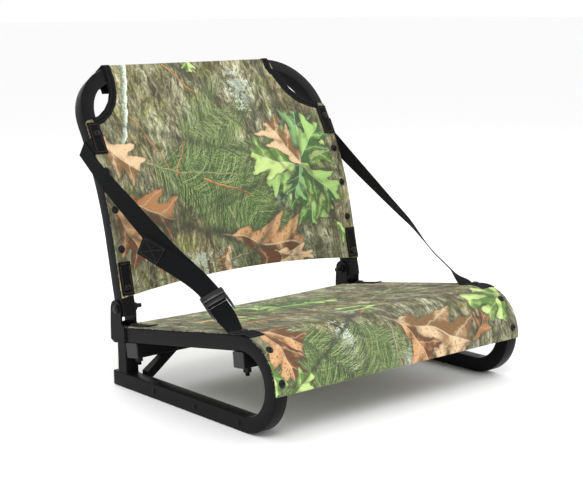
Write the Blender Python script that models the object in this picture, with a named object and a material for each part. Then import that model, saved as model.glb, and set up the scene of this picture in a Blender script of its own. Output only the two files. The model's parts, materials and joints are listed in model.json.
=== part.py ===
"""Low folding ground seat: two bent-tube side frames, two crossbars, a tilting backrest, slings and straps.

Metres, +Z up. The seat faces -Y and +X is to the right of someone looking at its front.
The origin is on the ground, in the middle of the seat's footprint.
"""

import math

import bmesh
import bpy
from mathutils import Matrix, Vector

# Tubes
TUBE = 0.0254  # side of the square tube
WALL = 0.0016
TUBE_EDGE = 0.0012  # width of the broken edge along the tube's corners
GAP = 0.0003  # kept between pieces that touch
HALF_WIDTH = 0.2735  # middle of the seat to the outer face of a side frame

# Side frame: lower rail, front bend and upper rail in one tube
HINGE_Y = 0.1279
HINGE_Z = 0.1361
BEND_RADIUS = 0.0634  # to the tube's centreline
BEND_Y = HINGE_Y - 0.340
BEND_Z = TUBE / 2 + BEND_RADIUS
RAIL_SLOPE = math.radians(8.3)  # the upper rail falls towards the back
BASE_REAR_Y = HINGE_Y + 0.0196
BEND_STEPS = 16

# Backrest, whose side profile is straight, then curved backwards, then straight
LEAN_LOW = math.radians(12.0)
LEAN_HIGH = math.radians(32.0)
LEAN_RADIUS = 0.600
LEAN_MIDDLE = 0.223  # distance along the upright from the hinge to the middle of the curve
BACK_HEIGHT = 0.4304  # along the upright, from the hinge to the top of the frame
BACK_AHEAD = 0.0040  # the upright's centreline passes this far in front of the hinge bolt
BACK_FOOT = 0.0135  # from the hinge down to the end of the upright
CORNER_RADIUS = 0.0909

# Crossbars and rear legs
REAR_BAR_DEPTH = 0.03175
REAR_BAR_Y = HINGE_Y - 0.0384
FRONT_BAR_Y = HINGE_Y - 0.3290
FRONT_BAR_TILT = math.radians(5.5)
FRONT_BAR_DROP = 0.0006
FRONT_BOLT_AHEAD = 0.004
LEG_REAR_Y = HINGE_Y + 0.0054
BRACE_SIDE = 0.0155
BRACE_ANGLE = math.radians(36)
BRACE_INBOARD = 0.2110

# Hinge bracket
PLATE = 0.003
EAR_HALF = 0.0155
EAR_BEHIND = 0.0030  # the middle of an ear, behind the hinge bolt
EAR_TOP = 0.0150
COLLAR_FRONT = 0.0210
COLLAR_REAR = 0.0200
COLLAR_CHAMFER = 0.011

# Slings
CLOTH = 0.0012
SEAT_REAR_Y = HINGE_Y - 0.004
SEAT_NOTCH_Y = HINGE_Y - 0.0300
SEAT_END_ANGLE = math.radians(93)
BACK_LOW = 0.018
BACK_BOW = 0.018
CUTOUT_LOW = 0.325
CUTOUT_X_LOW = 0.252
CUTOUT_X_HIGH = 0.186
BACK_FLAP = 0.045
BACK_ROWS = 15

# Webbing
STRAP_WIDE = 0.03175
PATCH_WIDE = TUBE - 0.001
WEB_THICK = 0.0015
PATCH_LONG = 0.057
PATCH_S = (0.050, 0.292)
LOOP_S = 0.2785
PIVOT_Y = HINGE_Y - 0.308
PIVOT_LIFT = 0.0042
STRAP_RISE = math.radians(33.9)
STRAP_LONG = 0.462
STRAP_SHIFT_LONG = 0.190  # from its pivot, a strap is clear of the rail at this distance
STRAP_TWIST_LONG = 0.420  # and upright at this one
BUCKLE_TWIST = math.radians(33)
STRAP_X = HALF_WIDTH + 0.0032
BUCKLE_AT = 0.056
BUCKLE_SIZE = (0.0400, 0.0400, 0.0045)
ANCHOR_LONG = 0.046

# Fasteners
SCREW_R = 0.0024
SCREW_HEAD_R = 0.0066
SCREW_HEAD_HIGH = 0.0036
SCREW_LONG = 0.010
BACK_SCREW_FIRST = 0.034
BACK_SCREW_PITCH = 0.0665
BACK_SCREWS = 5
BEND_SCREW_ANGLES = (math.radians(38.5), math.radians(79.0))
BOLT_R = 0.0039
CORNER_BOLT = (0.0078, 0.0036, 0.006)  # head radius, head height, and thread past the nut
HINGE_BOLT = (0.0078, 0.0052, 0.010)
NUT_FLATS = 0.0125
NUT_HIGH = 0.0065
ROUND_SIDES = 12

SIDES = ((-1, "left"), (1, "right"))

BLACK_STEEL = ((0.022, 0.023, 0.025), 0.45, 0.3)
BLACK_PLASTIC = ((0.012, 0.012, 0.013), 0.5, 0.0)
BLACK_OXIDE = ((0.015, 0.015, 0.016), 0.35, 0.8)
CAMO_CLOTH = ((0.25, 0.24, 0.15), 0.85, 0.0)
BLACK_WEBBING = ((0.02, 0.02, 0.022), 0.9, 0.0)


def clear_scene():
    for obj in list(bpy.data.objects):
        bpy.data.objects.remove(obj, do_unlink=True)


def material(name, finish):
    colour, roughness, metallic = finish
    made = bpy.data.materials.new(name)
    made.use_nodes = True
    shader = made.node_tree.nodes["Principled BSDF"]
    shader.inputs["Base Color"].default_value = (*colour, 1)
    shader.inputs["Roughness"].default_value = roughness
    shader.inputs["Metallic"].default_value = metallic
    made.diffuse_color = (*colour, 1)
    return made


def finished(name, bm, finish, parent=None, place=None):
    """The bmesh as a named object with a material of its own; place is the empty or pivot it turns on."""
    bmesh.ops.recalc_face_normals(bm, faces=bm.faces)
    mesh = bpy.data.meshes.new(name)
    bm.to_mesh(mesh)
    bm.free()
    obj = bpy.data.objects.new(name, mesh)
    bpy.context.scene.collection.objects.link(obj)
    mesh.materials.append(material(name, finish))
    if parent is not None:
        obj.parent = parent
        obj.matrix_parent_inverse = parent.matrix_world.inverted()
    if place is not None:
        obj.matrix_world = place
    return obj


def pivot(name, y, z):
    """An empty on a joint's axis, which its moving pieces are parented to."""
    empty = bpy.data.objects.new(name, None)
    empty.location = (0, y, z)
    bpy.context.scene.collection.objects.link(empty)
    bpy.context.view_layer.update()
    return empty


# Shapes


def square(width, depth, edge):
    """The outline of a square tube or bar, counter-clockwise, with its corners cut by edge."""
    a, b = width / 2, depth / 2
    return [
        (a, -b + edge), (a, b - edge), (a - edge, b), (-a + edge, b),
        (-a, b - edge), (-a, -b + edge), (-a + edge, -b), (a - edge, -b),
    ]  # fmt: skip


def sweep(stations, outline, bore=None):
    """A tube or bar whose section is placed by each station, a function of its two coordinates."""
    bm = bmesh.new()
    loops = [outline] + ([bore] if bore else [])
    rings = [[[bm.verts.new(at(a, b)) for a, b in loop] for loop in loops] for at in stations]
    count = len(outline)
    for first, second in zip(rings, rings[1:]):
        for one, two in zip(first, second):
            for i in range(count):
                j = (i + 1) % count
                bm.faces.new((one[i], one[j], two[j], two[i]))
    for end in (rings[0], rings[-1]):
        if bore:
            for i in range(count):
                j = (i + 1) % count
                bm.faces.new((end[0][i], end[0][j], end[1][j], end[1][i]))
        else:
            bm.faces.new(end[0])
    return bm


def prism(outline, low, high, at):
    """A flat outline extruded from low to high; at(a, b, h) places each point."""
    return sweep([lambda a, b, h=h: at(a, b, h) for h in (low, high)], outline)


def turned(profile, sides=ROUND_SIDES):
    """A solid turned about Z from (radius, height) points that start and end on the axis."""
    bm = bmesh.new()
    tip = bm.verts.new((0, 0, profile[0][1]))
    base = bm.verts.new((0, 0, profile[-1][1]))
    rings = []
    for radius, height in profile[1:-1]:
        angles = [2 * math.pi * i / sides for i in range(sides)]
        rings.append([bm.verts.new((radius * math.cos(t), radius * math.sin(t), height)) for t in angles])
    for i in range(sides):
        j = (i + 1) % sides
        bm.faces.new((tip, rings[0][i], rings[0][j]))
        bm.faces.new((base, rings[-1][j], rings[-1][i]))
        for one, two in zip(rings, rings[1:]):
            bm.faces.new((one[i], two[i], two[j], one[j]))
    return bm


def hex_nut(across, hole, high):
    """A hexagonal nut from Z = 0 to high, with a round hole through it."""
    half_corner = across / math.sqrt(3)
    outline = []
    for i in range(12):
        reach = half_corner if i % 2 == 0 else across / 2
        outline.append((reach * math.cos(math.pi * i / 6), reach * math.sin(math.pi * i / 6)))
    bore = [(hole * math.cos(math.pi * i / 6), hole * math.sin(math.pi * i / 6)) for i in range(12)]
    return sweep([lambda a, b, h=h: Vector((a, b, h)) for h in (0, high)], outline, bore)


def frame_at(origin, x_axis, z_axis):
    """The matrix of a place whose local Z and X point along the given directions."""
    z = Vector(z_axis).normalized()
    x = (Vector(x_axis) - z * Vector(x_axis).dot(z)).normalized()
    y = z.cross(x)
    turn = Matrix((x, y, z)).transposed().to_4x4()
    return Matrix.Translation(origin) @ turn


def drill(targets, start, direction, depth, radius):
    """A round hole from start along direction, cut out of each target."""
    bm = bmesh.new()
    bmesh.ops.create_cone(
        bm, cap_ends=True, segments=ROUND_SIDES, radius1=radius, radius2=radius, depth=depth
    )
    direction = Vector(direction).normalized()
    side = Vector((1, 0, 0)) if abs(direction.x) < 0.9 else Vector((0, 1, 0))
    place = frame_at(Vector(start) + direction * depth / 2, side, direction)
    bm.transform(place)
    mesh = bpy.data.meshes.new("drill")
    bm.to_mesh(mesh)
    bm.free()
    cutter = bpy.data.objects.new("drill", mesh)
    cutter.hide_render = True
    cutter.display_type = "WIRE"
    bpy.context.scene.collection.objects.link(cutter)
    for target in targets:
        cut = target.modifiers.new("hole", "BOOLEAN")
        cut.operation = "DIFFERENCE"
        cut.solver = "EXACT"
        cut.object = cutter


# Places along the side frame and the backrest


def bend_point(x, angle, radius):
    """A point on the front bend; angle is from straight up towards the front."""
    return Vector((x, BEND_Y - radius * math.sin(angle), BEND_Z + radius * math.cos(angle)))


def bend_normal(angle):
    return Vector((0, -math.sin(angle), math.cos(angle)))


RAIL_UP = bend_normal(-RAIL_SLOPE)
RAIL_BACK = Vector((0, math.cos(RAIL_SLOPE), -math.sin(RAIL_SLOPE)))


def rail_point(x, y, height):
    """A point over the upper rail at that y on its centreline, height above the centreline."""
    start = bend_point(x, -RAIL_SLOPE, BEND_RADIUS)
    return start + RAIL_BACK * ((y - start.y) / RAIL_BACK.y) + RAIL_UP * height


def back_profile(s):
    """(y, z, lean) of the upright's centreline at distance s above the hinge."""
    curve = LEAN_RADIUS * (LEAN_HIGH - LEAN_LOW)
    before = min(s, LEAN_MIDDLE - curve / 2)
    inside = min(max(s - (LEAN_MIDDLE - curve / 2), 0), curve)
    after = max(s - (LEAN_MIDDLE + curve / 2), 0)
    lean = LEAN_LOW + inside / LEAN_RADIUS
    y = before * math.sin(LEAN_LOW) + LEAN_RADIUS * (math.cos(LEAN_LOW) - math.cos(lean)) - BACK_AHEAD
    z = before * math.cos(LEAN_LOW) + LEAN_RADIUS * (math.sin(lean) - math.sin(LEAN_LOW))
    return y + after * math.sin(lean), z + after * math.cos(lean), lean


def back_normal(s):
    lean = back_profile(s)[2]
    return Vector((0, -math.cos(lean), math.sin(lean)))


def back_point(x, s, forward):
    """A point on the backrest: x across, s up along it, forward of its centreline."""
    y, z, _ = back_profile(s)
    return Vector((x, HINGE_Y + y, HINGE_Z + z)) + back_normal(s) * forward


def rail_x(side):
    return side * (HALF_WIDTH - TUBE / 2)


# Root: side frames, legs, brackets, crossbars


def side_frame(side, name):
    x = rail_x(side)
    low_y = BASE_REAR_Y - 0.002 - GAP
    top_end = rail_point(x, HINGE_Y + COLLAR_REAR - PLATE - 0.0024, 0)
    stations = [lambda a, b: Vector((x + a, low_y, TUBE / 2 - b))]
    stations += [lambda a, b: Vector((x + a, BEND_Y, TUBE / 2 - b))]
    total = math.pi + RAIL_SLOPE
    for i in range(1, BEND_STEPS + 1):
        angle = math.pi - total * i / BEND_STEPS
        stations.append(lambda a, b, t=angle: bend_point(x + a, t, BEND_RADIUS + b))
    stations.append(lambda a, b: top_end + Vector((a, 0, 0)) + RAIL_UP * b)
    inner = TUBE - 2 * WALL
    bm = sweep(stations, square(TUBE, TUBE, TUBE_EDGE), square(inner, inner, TUBE_EDGE / 2))
    return finished(f"{name}_side_frame", bm, BLACK_STEEL)


def end_plug(name, place, depth=TUBE):
    """A plastic plug whose flange is outside Z = 0 and whose body fills the tube's bore below it."""
    flange, body = 0.002, 0.005
    inner = 2 * (WALL + GAP)
    wide, thin = square(TUBE, depth, TUBE_EDGE), square(TUBE - inner, depth - inner, TUBE_EDGE / 2)
    levels = ((wide, flange + GAP), (wide, GAP), (thin, GAP), (thin, -body))
    bm = bmesh.new()
    rings = [[bm.verts.new((a, b, h)) for a, b in outline] for outline, h in levels]
    for one, two in zip(rings, rings[1:]):
        for i in range(8):
            j = (i + 1) % 8
            bm.faces.new((one[i], one[j], two[j], two[i]))
    bm.faces.new(rings[0])
    bm.faces.new(rings[-1])
    bm.transform(place)
    return finished(name, bm, BLACK_PLASTIC)


def rear_leg(side, name):
    x = rail_x(side)
    y = LEG_REAR_Y - TUBE / 2

    def top(a, b):
        under = rail_point(x, y + b, -TUBE / 2 - GAP)
        rise = (y + b - under.y) * -math.tan(RAIL_SLOPE)
        return Vector((x + a, y + b, under.z + rise))

    stations = [lambda a, b: Vector((x + a, y + b, TUBE + GAP)), top]
    inner = TUBE - 2 * WALL
    bm = sweep(stations, square(TUBE, TUBE, TUBE_EDGE), square(inner, inner, TUBE_EDGE / 2))
    return finished(f"{name}_rear_leg", bm, BLACK_STEEL)


def hinge_bracket(side, name):
    """Two ear plates outside the tube, joined behind the rail's end by a web."""
    front, rear = HINGE_Y - COLLAR_FRONT, HINGE_Y + COLLAR_REAR
    under = -TUBE / 2

    def rail_z(y, height):
        at = rail_point(0, y, height)
        return at.z + (at.y - y) * math.tan(RAIL_SLOPE)

    centre_z = HINGE_Z + EAR_TOP - EAR_HALF
    ear_y = HINGE_Y + EAR_BEHIND
    step_z = rail_z(front, TUBE / 2 + 0.002)
    outline = [
        (front, rail_z(front, under)),
        (rear - COLLAR_CHAMFER, rail_z(rear - COLLAR_CHAMFER, under)),
        (rear, rail_z(rear, under) + COLLAR_CHAMFER * 0.6),
        (rear, step_z),
    ]
    for i in range(9):
        angle = math.pi * i / 8
        outline.append((ear_y + EAR_HALF * math.cos(angle), centre_z + EAR_HALF * math.sin(angle)))
    ear_front = ear_y - EAR_HALF
    outline += [(ear_front, step_z + 0.004), (ear_front - 0.004, step_z), (front, step_z)]
    x = rail_x(side)
    half = TUBE / 2 + GAP + PLATE
    bm = prism(outline, -half, half, lambda y, z, h: Vector((x + h, y, z)))
    bracket = finished(f"{name}_hinge_bracket", bm, BLACK_STEEL)
    slot_rear = rear - PLATE
    slot = (
        (front - 0.01, slot_rear, 0.05, HINGE_Z + 0.05),
        (slot_rear - 0.001, rear + 0.01, step_z, HINGE_Z + 0.05),
    )
    for y0, y1, z0, z1 in slot:
        box = prism(
            [(y0, z0), (y1, z0), (y1, z1), (y0, z1)],
            -TUBE / 2 - GAP,
            TUBE / 2 + GAP,
            lambda y, z, h: Vector((x + h, y, z)),
        )
        cutter = finished("slot", box, BLACK_STEEL)
        cutter.hide_render = True
        cutter.display_type = "WIRE"
        cut = bracket.modifiers.new("slot", "BOOLEAN")
        cut.operation = "DIFFERENCE"
        cut.solver = "EXACT"
        cut.object = cutter
    return bracket


def crossbar(name, centre, tilt, depth):
    """A tube across the seat under both rails, with a plug in each end."""
    along = Vector((0, math.cos(tilt), -math.sin(tilt)))
    up = Vector((0, math.sin(tilt), math.cos(tilt)))
    reach = HALF_WIDTH - 0.002 - GAP
    ends = [Vector((x, centre.y, centre.z)) for x in (-reach, reach)]
    stations = [lambda a, b, end=end: end + along * b + up * a for end in ends]
    bore = square(TUBE - 2 * WALL, depth - 2 * WALL, TUBE_EDGE / 2)
    bar = finished(name, sweep(stations, square(TUBE, depth, TUBE_EDGE), bore), BLACK_STEEL)
    for side, side_name in SIDES:
        place = frame_at(Vector((side * reach, centre.y, centre.z)), up, (side, 0, 0))
        end_plug(f"{name}_{side_name}_plug", place, depth)
    return bar


def brace(side, name, bar_centre):
    """A square bar from the underside of the rear crossbar down to the inner face of the lower rail."""
    wall_x = HALF_WIDTH - TUBE - GAP
    cut = BRACE_SIDE / math.sin(BRACE_ANGLE)
    drop = math.tan(BRACE_ANGLE)

    def top_z(y):
        low = bar_centre - RAIL_UP * (TUBE / 2 + GAP)
        return low.z - (y - low.y) * math.tan(RAIL_SLOPE)

    bm = bmesh.new()
    rings = []
    for y in (bar_centre.y - BRACE_SIDE / 2, bar_centre.y + BRACE_SIDE / 2):
        z = top_z(y)
        inner_x = BRACE_INBOARD - cut
        points = (
            (BRACE_INBOARD, z),
            (inner_x, z),
            (wall_x, top_z(bar_centre.y) - (wall_x - inner_x) * drop),
            (wall_x, top_z(bar_centre.y) - (wall_x - BRACE_INBOARD) * drop),
        )
        rings.append([bm.verts.new((side * px, y, pz)) for px, pz in points])
    for i in range(4):
        j = (i + 1) % 4
        bm.faces.new((rings[0][i], rings[0][j], rings[1][j], rings[1][i]))
    bm.faces.new(rings[0])
    bm.faces.new(rings[1])
    return finished(f"{name}_rear_brace", bm, BLACK_STEEL)


# Slings and webbing


def seat_sling():
    """Cloth over both rails and the front bends, notched behind round the hinge brackets."""
    height = TUBE / 2 + GAP
    inner_x = HALF_WIDTH - TUBE - GAP - PLATE - 0.0025
    columns = [-HALF_WIDTH, -inner_x] + [inner_x * k / 2 for k in (-1, 0, 1)] + [inner_x, HALF_WIDTH]
    path = [(rail_point(0, SEAT_REAR_Y, height), RAIL_UP), (rail_point(0, SEAT_NOTCH_Y, height), RAIL_UP)]
    straight = bend_point(0, -RAIL_SLOPE, BEND_RADIUS + height)
    for k in range(1, 4):
        y = SEAT_NOTCH_Y + (straight.y - SEAT_NOTCH_Y) * k / 4
        path.append((rail_point(0, y, height), RAIL_UP))
    for k in range(BEND_STEPS + 1):
        angle = -RAIL_SLOPE + (SEAT_END_ANGLE + RAIL_SLOPE) * k / BEND_STEPS
        path.append((bend_point(0, angle, BEND_RADIUS + height), bend_normal(angle)))
    bm = bmesh.new()
    lower, upper = [], []
    for point, normal in path:
        lower.append([bm.verts.new(point + Vector((x, 0, 0))) for x in columns])
        upper.append([bm.verts.new(point + Vector((x, 0, 0)) + normal * CLOTH) for x in columns])
    cells = []
    for i in range(len(path) - 1):
        for j in range(len(columns) - 1):
            outer = j in (0, len(columns) - 2)
            if not (i == 0 and outer):
                cells.append(((i, j), (i, j + 1), (i + 1, j + 1), (i + 1, j)))
    close_cells(bm, cells, lower, upper)
    return finished("seat_sling", bm, CAMO_CLOTH)


def close_cells(bm, cells, lower, upper):
    """Faces of a sheet given as grid cells: its two sides, and a rim wherever a cell has no neighbour."""
    edges = {(cell[k], cell[(k + 1) % 4]) for cell in cells for k in range(4)}
    for cell in cells:
        bm.faces.new([lower[i][j] for i, j in cell])
        bm.faces.new([upper[i][j] for i, j in reversed(cell)])
    for one, two in edges:
        if (two, one) not in edges:
            (i, j), (m, n) = one, two
            bm.faces.new((lower[m][n], lower[i][j], upper[i][j], upper[m][n]))
    for vert in [v for v in bm.verts if not v.link_faces]:
        bm.verts.remove(vert)


def back_sling(parent):
    """Cloth over the front of the uprights, cut away at the top corners and wrapped over the top bar."""
    shares = [k / 6 for k in range(-6, 7)]
    inside = TUBE / 2 + GAP
    rows = []
    for k in range(BACK_ROWS):
        row = []
        for x in [-HALF_WIDTH, *(CUTOUT_X_LOW * t for t in shares), HALF_WIDTH]:
            low = BACK_LOW + BACK_BOW * (1 - (x / HALF_WIDTH) ** 2)
            s = low + (CUTOUT_LOW - low) * k / (BACK_ROWS - 1)
            row.append((back_point(x, s, inside), back_point(x, s, inside + CLOTH)))
        rows.append(row)
    top = BACK_HEIGHT - TUBE_EDGE
    for k in range(1, 7):
        share = k / 6
        half = CUTOUT_X_LOW - (CUTOUT_X_LOW - CUTOUT_X_HIGH) * math.sin(share**0.75 * math.pi / 2)
        s = CUTOUT_LOW + (top - CUTOUT_LOW) * share
        rows.append(back_row(half, shares, (s, inside), (s, inside + CLOTH)))
    for facing in (1, -1):
        for k in range(4):
            angle = math.radians(30 * k if facing == 1 else 90 - 30 * k)
            places = []
            for radius in (TUBE_EDGE + GAP, TUBE_EDGE + GAP + CLOTH):
                out = TUBE / 2 - TUBE_EDGE + radius * math.cos(angle)
                places.append((top + radius * math.sin(angle), facing * out))
            if (facing, k) != (1, 0):
                rows.append(back_row(CUTOUT_X_HIGH, shares, *places))
    end = BACK_HEIGHT - BACK_FLAP
    rows.append(back_row(CUTOUT_X_HIGH, shares, (end, -inside), (end, -inside - CLOTH)))
    bm = bmesh.new()
    lower = [[bm.verts.new(pair[0]) for pair in row] for row in rows]
    upper = [[bm.verts.new(pair[1]) for pair in row] for row in rows]
    cells = []
    for i in range(len(rows) - 1):
        for j in range(len(shares) + 1):
            outer = j in (0, len(shares))
            if not (outer and i >= BACK_ROWS - 1):
                cells.append(((i, j), (i, j + 1), (i + 1, j + 1), (i + 1, j)))
    close_cells(bm, cells, lower, upper)
    return finished("back_sling", bm, CAMO_CLOTH, parent)


def back_row(half, shares, under, over):
    """A row of cloth across the backrest; under and over are (s, forward) of its two sides."""
    return [(back_point(half * t, *under), back_point(half * t, *over)) for t in [-1, *shares, 1]]


def strip(stations, wide=STRAP_WIDE, thick=WEB_THICK):
    """A length of webbing through stations of (centre, width direction, normal)."""
    places = [lambda a, b, c=c, w=w, n=n: c + w * a + n * b for c, w, n in stations]
    a, b = wide / 2, thick / 2
    return sweep(places, [(-a, -b), (a, -b), (a, b), (-a, b)])


def back_patch(side, name, level, s_middle, parent):
    """A webbing patch over the cloth on the front of an upright."""
    x = rail_x(side)
    forward = TUBE / 2 + 2 * GAP + CLOTH + WEB_THICK / 2
    stations = []
    for k in range(5):
        s = s_middle + PATCH_LONG * (k / 4 - 0.5)
        stations.append((back_point(x, s, forward), Vector((1, 0, 0)), back_normal(s)))
    return finished(f"{name}_{level}_back_patch", strip(stations, PATCH_WIDE), BLACK_WEBBING, parent)


def seat_patch(side, name):
    """A webbing patch over the seat cloth at the rear of the rail, under the rear corner bolt."""
    lift = TUBE / 2 + 2 * GAP + CLOTH + WEB_THICK / 2
    stations = []
    for y in (SEAT_NOTCH_Y - PATCH_LONG, SEAT_NOTCH_Y):
        stations.append((rail_point(rail_x(side), y, lift), Vector((1, 0, 0)), RAIL_UP))
    return finished(f"{name}_seat_patch", strip(stations, PATCH_WIDE), BLACK_WEBBING)


def strap_loop(side, name, parent):
    """Webbing round the back of the upright, from behind the cloth to the strap's end outside it."""
    x = rail_x(side)
    near, far = TUBE / 2 + GAP, TUBE / 2 + GAP + WEB_THICK
    inboard_end, outboard_end = TUBE / 2 - 0.001, TUBE / 2 + 2 * GAP + CLOTH + WEB_THICK
    outline = [
        (near, outboard_end), (far, outboard_end), (far, -far), (-far, -far),
        (-far, inboard_end), (-near, inboard_end), (-near, -near), (near, -near),
    ]  # fmt: skip
    heights = (LOOP_S - STRAP_WIDE / 2, LOOP_S, LOOP_S + STRAP_WIDE / 2)
    stations = [lambda a, b, s=s: back_point(x + side * a, s, b) for s in heights]
    return finished(f"{name}_strap_loop", sweep(stations, outline), BLACK_WEBBING, parent)


def smooth(value, low, high):
    """0 below low, 1 above high, and an even curve between them."""
    share = min(max((value - low) / (high - low), 0), 1)
    return share * share * (3 - 2 * share)


def strap_station(side, distance):
    """(centre, width direction, normal) of a taut strap at that distance from its pivot."""
    along = Vector((0, math.cos(STRAP_RISE), math.sin(STRAP_RISE)))
    start = rail_point(rail_x(side), PIVOT_Y, TUBE / 2 + PIVOT_LIFT)
    first = smooth(distance, 0, BUCKLE_AT - BUCKLE_SIZE[0] / 2)
    past_buckle = BUCKLE_AT + BUCKLE_SIZE[0] / 2
    second = min(max((distance - past_buckle) / (STRAP_TWIST_LONG - past_buckle), 0), 1)
    twist = BUCKLE_TWIST * first + (math.pi / 2 - BUCKLE_TWIST) * second
    flat_up = Vector((0, -math.sin(STRAP_RISE), math.cos(STRAP_RISE)))
    across = Vector((side, 0, 0))
    width = across * math.cos(twist) - flat_up * math.sin(twist)
    normal = flat_up * math.cos(twist) + across * math.sin(twist)
    outward = STRAP_X - (HALF_WIDTH - TUBE / 2)
    shift = across * outward * smooth(distance, past_buckle, STRAP_SHIFT_LONG)
    return start + along * distance + shift, width, normal


def strap(side, name, low, high, parent):
    """A strap between two distances, with closer stations where it twists."""
    twisting = min(high, STRAP_TWIST_LONG)
    steps = max(2, round((twisting - low) / 0.008))
    stations = [strap_station(side, low + (twisting - low) * k / steps) for k in range(steps + 1)]
    if high > twisting:
        stations.append(strap_station(side, high))
    return finished(name, strip(stations), BLACK_WEBBING, parent)


def strap_anchor(side, name):
    """The strap's folded end, held flat on the rail under the front corner bolt."""
    x = rail_x(side)
    lift = TUBE / 2 + 2 * GAP + CLOTH + WEB_THICK / 2
    tangent = bend_point(x, -RAIL_SLOPE, BEND_RADIUS).y
    stations = []
    for y in (PIVOT_Y - 0.002, tangent + 0.001):
        stations.append((rail_point(x, y, lift), Vector((1, 0, 0)), RAIL_UP))
    left_over = ANCHOR_LONG - (PIVOT_Y - 0.002 - tangent)
    for k in range(1, 4):
        angle = -RAIL_SLOPE + left_over / BEND_RADIUS * k / 3
        stations.append((bend_point(x, angle, BEND_RADIUS + lift), Vector((1, 0, 0)), bend_normal(angle)))
    return finished(f"{name}_strap_anchor", strip(stations), BLACK_WEBBING)


def buckle(side, parent):
    """A ladder-lock slider on the outer face of the strap, with two slots."""
    long, wide, thick = BUCKLE_SIZE
    centre, width, normal = strap_station(side, BUCKLE_AT)
    along = width.cross(normal)
    base = WEB_THICK / 2 + GAP

    def place(a, b, h):
        return centre + along * a + width * b + normal * (base + h)

    xs = [-long / 2, -long / 2 + 0.0065, -0.0045, 0.0045, long / 2 - 0.0065, long / 2]
    ys = [-wide / 2, -wide / 2 + 0.0035, wide / 2 - 0.0035, wide / 2]
    bm = bmesh.new()
    lower = [[bm.verts.new(place(a, b, 0)) for b in ys] for a in xs]
    upper = [[bm.verts.new(place(a, b, thick)) for b in ys] for a in xs]
    cells = []
    for i in range(5):
        for j in range(3):
            if not (j == 1 and i in (1, 3)):
                cells.append(((i, j), (i, j + 1), (i + 1, j + 1), (i + 1, j)))
    close_cells(bm, cells, lower, upper)
    return finished("strap_buckle", bm, BLACK_PLASTIC, parent)


# Fasteners


def screw_profile():
    """A button-head screw, head up, with the head's underside at Z = 0."""
    dome = []
    for k in range(1, 5):
        angle = math.pi / 2 * k / 4
        dome.append((SCREW_HEAD_R * math.sin(angle), SCREW_HEAD_HIGH * math.cos(angle)))
    return [(0, SCREW_HEAD_HIGH), *dome, (SCREW_R, 0), (SCREW_R, -SCREW_LONG), (0, -SCREW_LONG)]


def screw(name, point, normal, targets, parent=None):
    """A screw whose head sits on point, and its hole in each target."""
    bm = turned(screw_profile())
    bm.transform(frame_at(point, (1, 0, 0), normal))
    finished(name, bm, BLACK_OXIDE, parent)
    start = point + normal * 0.001
    drill(targets, start, -normal, SCREW_LONG + 0.0015, SCREW_R + GAP)


def bolt_and_nut(name, head_at, direction, grip, targets, size):
    """A bolt from head_at along direction, through grip, with a nut and a stub of thread past it."""
    head_r, head_high, tail = size
    end = -grip - NUT_HIGH - tail
    profile = [
        (0, head_high), (head_r * 0.6, head_high * 0.92), (head_r, head_high * 0.35), (head_r, 0),
        (BOLT_R, 0), (BOLT_R, end), (0, end),
    ]  # fmt: skip
    direction = Vector(direction).normalized()
    guide = (1, 0, 0) if abs(direction.x) < 0.9 else (0, 1, 0)
    bm = turned(profile)
    bm.transform(frame_at(head_at, guide, -direction))
    finished(f"{name}_bolt", bm, BLACK_OXIDE)
    nut = hex_nut(NUT_FLATS, BOLT_R + GAP, NUT_HIGH)
    nut.transform(frame_at(Vector(head_at) + direction * (grip + GAP), guide, direction))
    finished(f"{name}_nut", nut, BLACK_OXIDE)
    drill(targets, Vector(head_at) - direction * 0.001, direction, grip + 0.002, BOLT_R + GAP)


# Assembly


def build_base():
    rear_centre = rail_point(0, REAR_BAR_Y + TUBE * math.sin(RAIL_SLOPE), -TUBE - GAP)
    front_centre = rail_point(0, FRONT_BAR_Y + TUBE * math.sin(RAIL_SLOPE), -TUBE - GAP - FRONT_BAR_DROP)
    rear_bar = crossbar("rear_crossbar", rear_centre, RAIL_SLOPE, REAR_BAR_DEPTH)
    front_bar = crossbar("front_crossbar", front_centre, FRONT_BAR_TILT, TUBE)
    front_centre += Vector((0, -FRONT_BOLT_AHEAD, 0))
    seat = seat_sling()
    cloth_top = TUBE / 2 + 2 * GAP + CLOTH
    for side, name in SIDES:
        x = rail_x(side)
        frame = side_frame(side, name)
        rear_leg(side, name)
        brace(side, name, rear_centre)
        cap_at = Vector((x, BASE_REAR_Y - 0.002 - GAP, TUBE / 2))
        end_plug(f"{name}_rail_end_cap", frame_at(cap_at, (1, 0, 0), (0, 1, 0)))
        anchor = strap_anchor(side, name)
        patch = seat_patch(side, name)
        for level, angle in zip(("upper", "lower"), BEND_SCREW_ANGLES):
            point = bend_point(x, angle, BEND_RADIUS + cloth_top)
            screw(f"{name}_{level}_seat_screw", point, bend_normal(angle), (frame, seat))
        across = Vector((x, 0, 0))
        above = TUBE + 2 * GAP + cloth_top + WEB_THICK
        targets = (frame, seat, rear_bar, patch)
        corner_bolt(f"{name}_rear_corner", rear_centre + across, RAIL_SLOPE, above, targets)
        above += FRONT_BAR_DROP + 2 * GAP
        targets = (frame, seat, front_bar, anchor)
        corner_bolt(f"{name}_front_corner", front_centre + across, FRONT_BAR_TILT, above, targets)


def corner_bolt(name, bar_centre, tilt, above, targets):
    """A bolt down through cloth, rail and crossbar, its head that far above the bar's middle."""
    up = Vector((0, math.sin(tilt), math.cos(tilt)))
    bolt_and_nut(name, bar_centre + up * above, -up, above + TUBE / 2 + GAP, targets, CORNER_BOLT)


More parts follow.
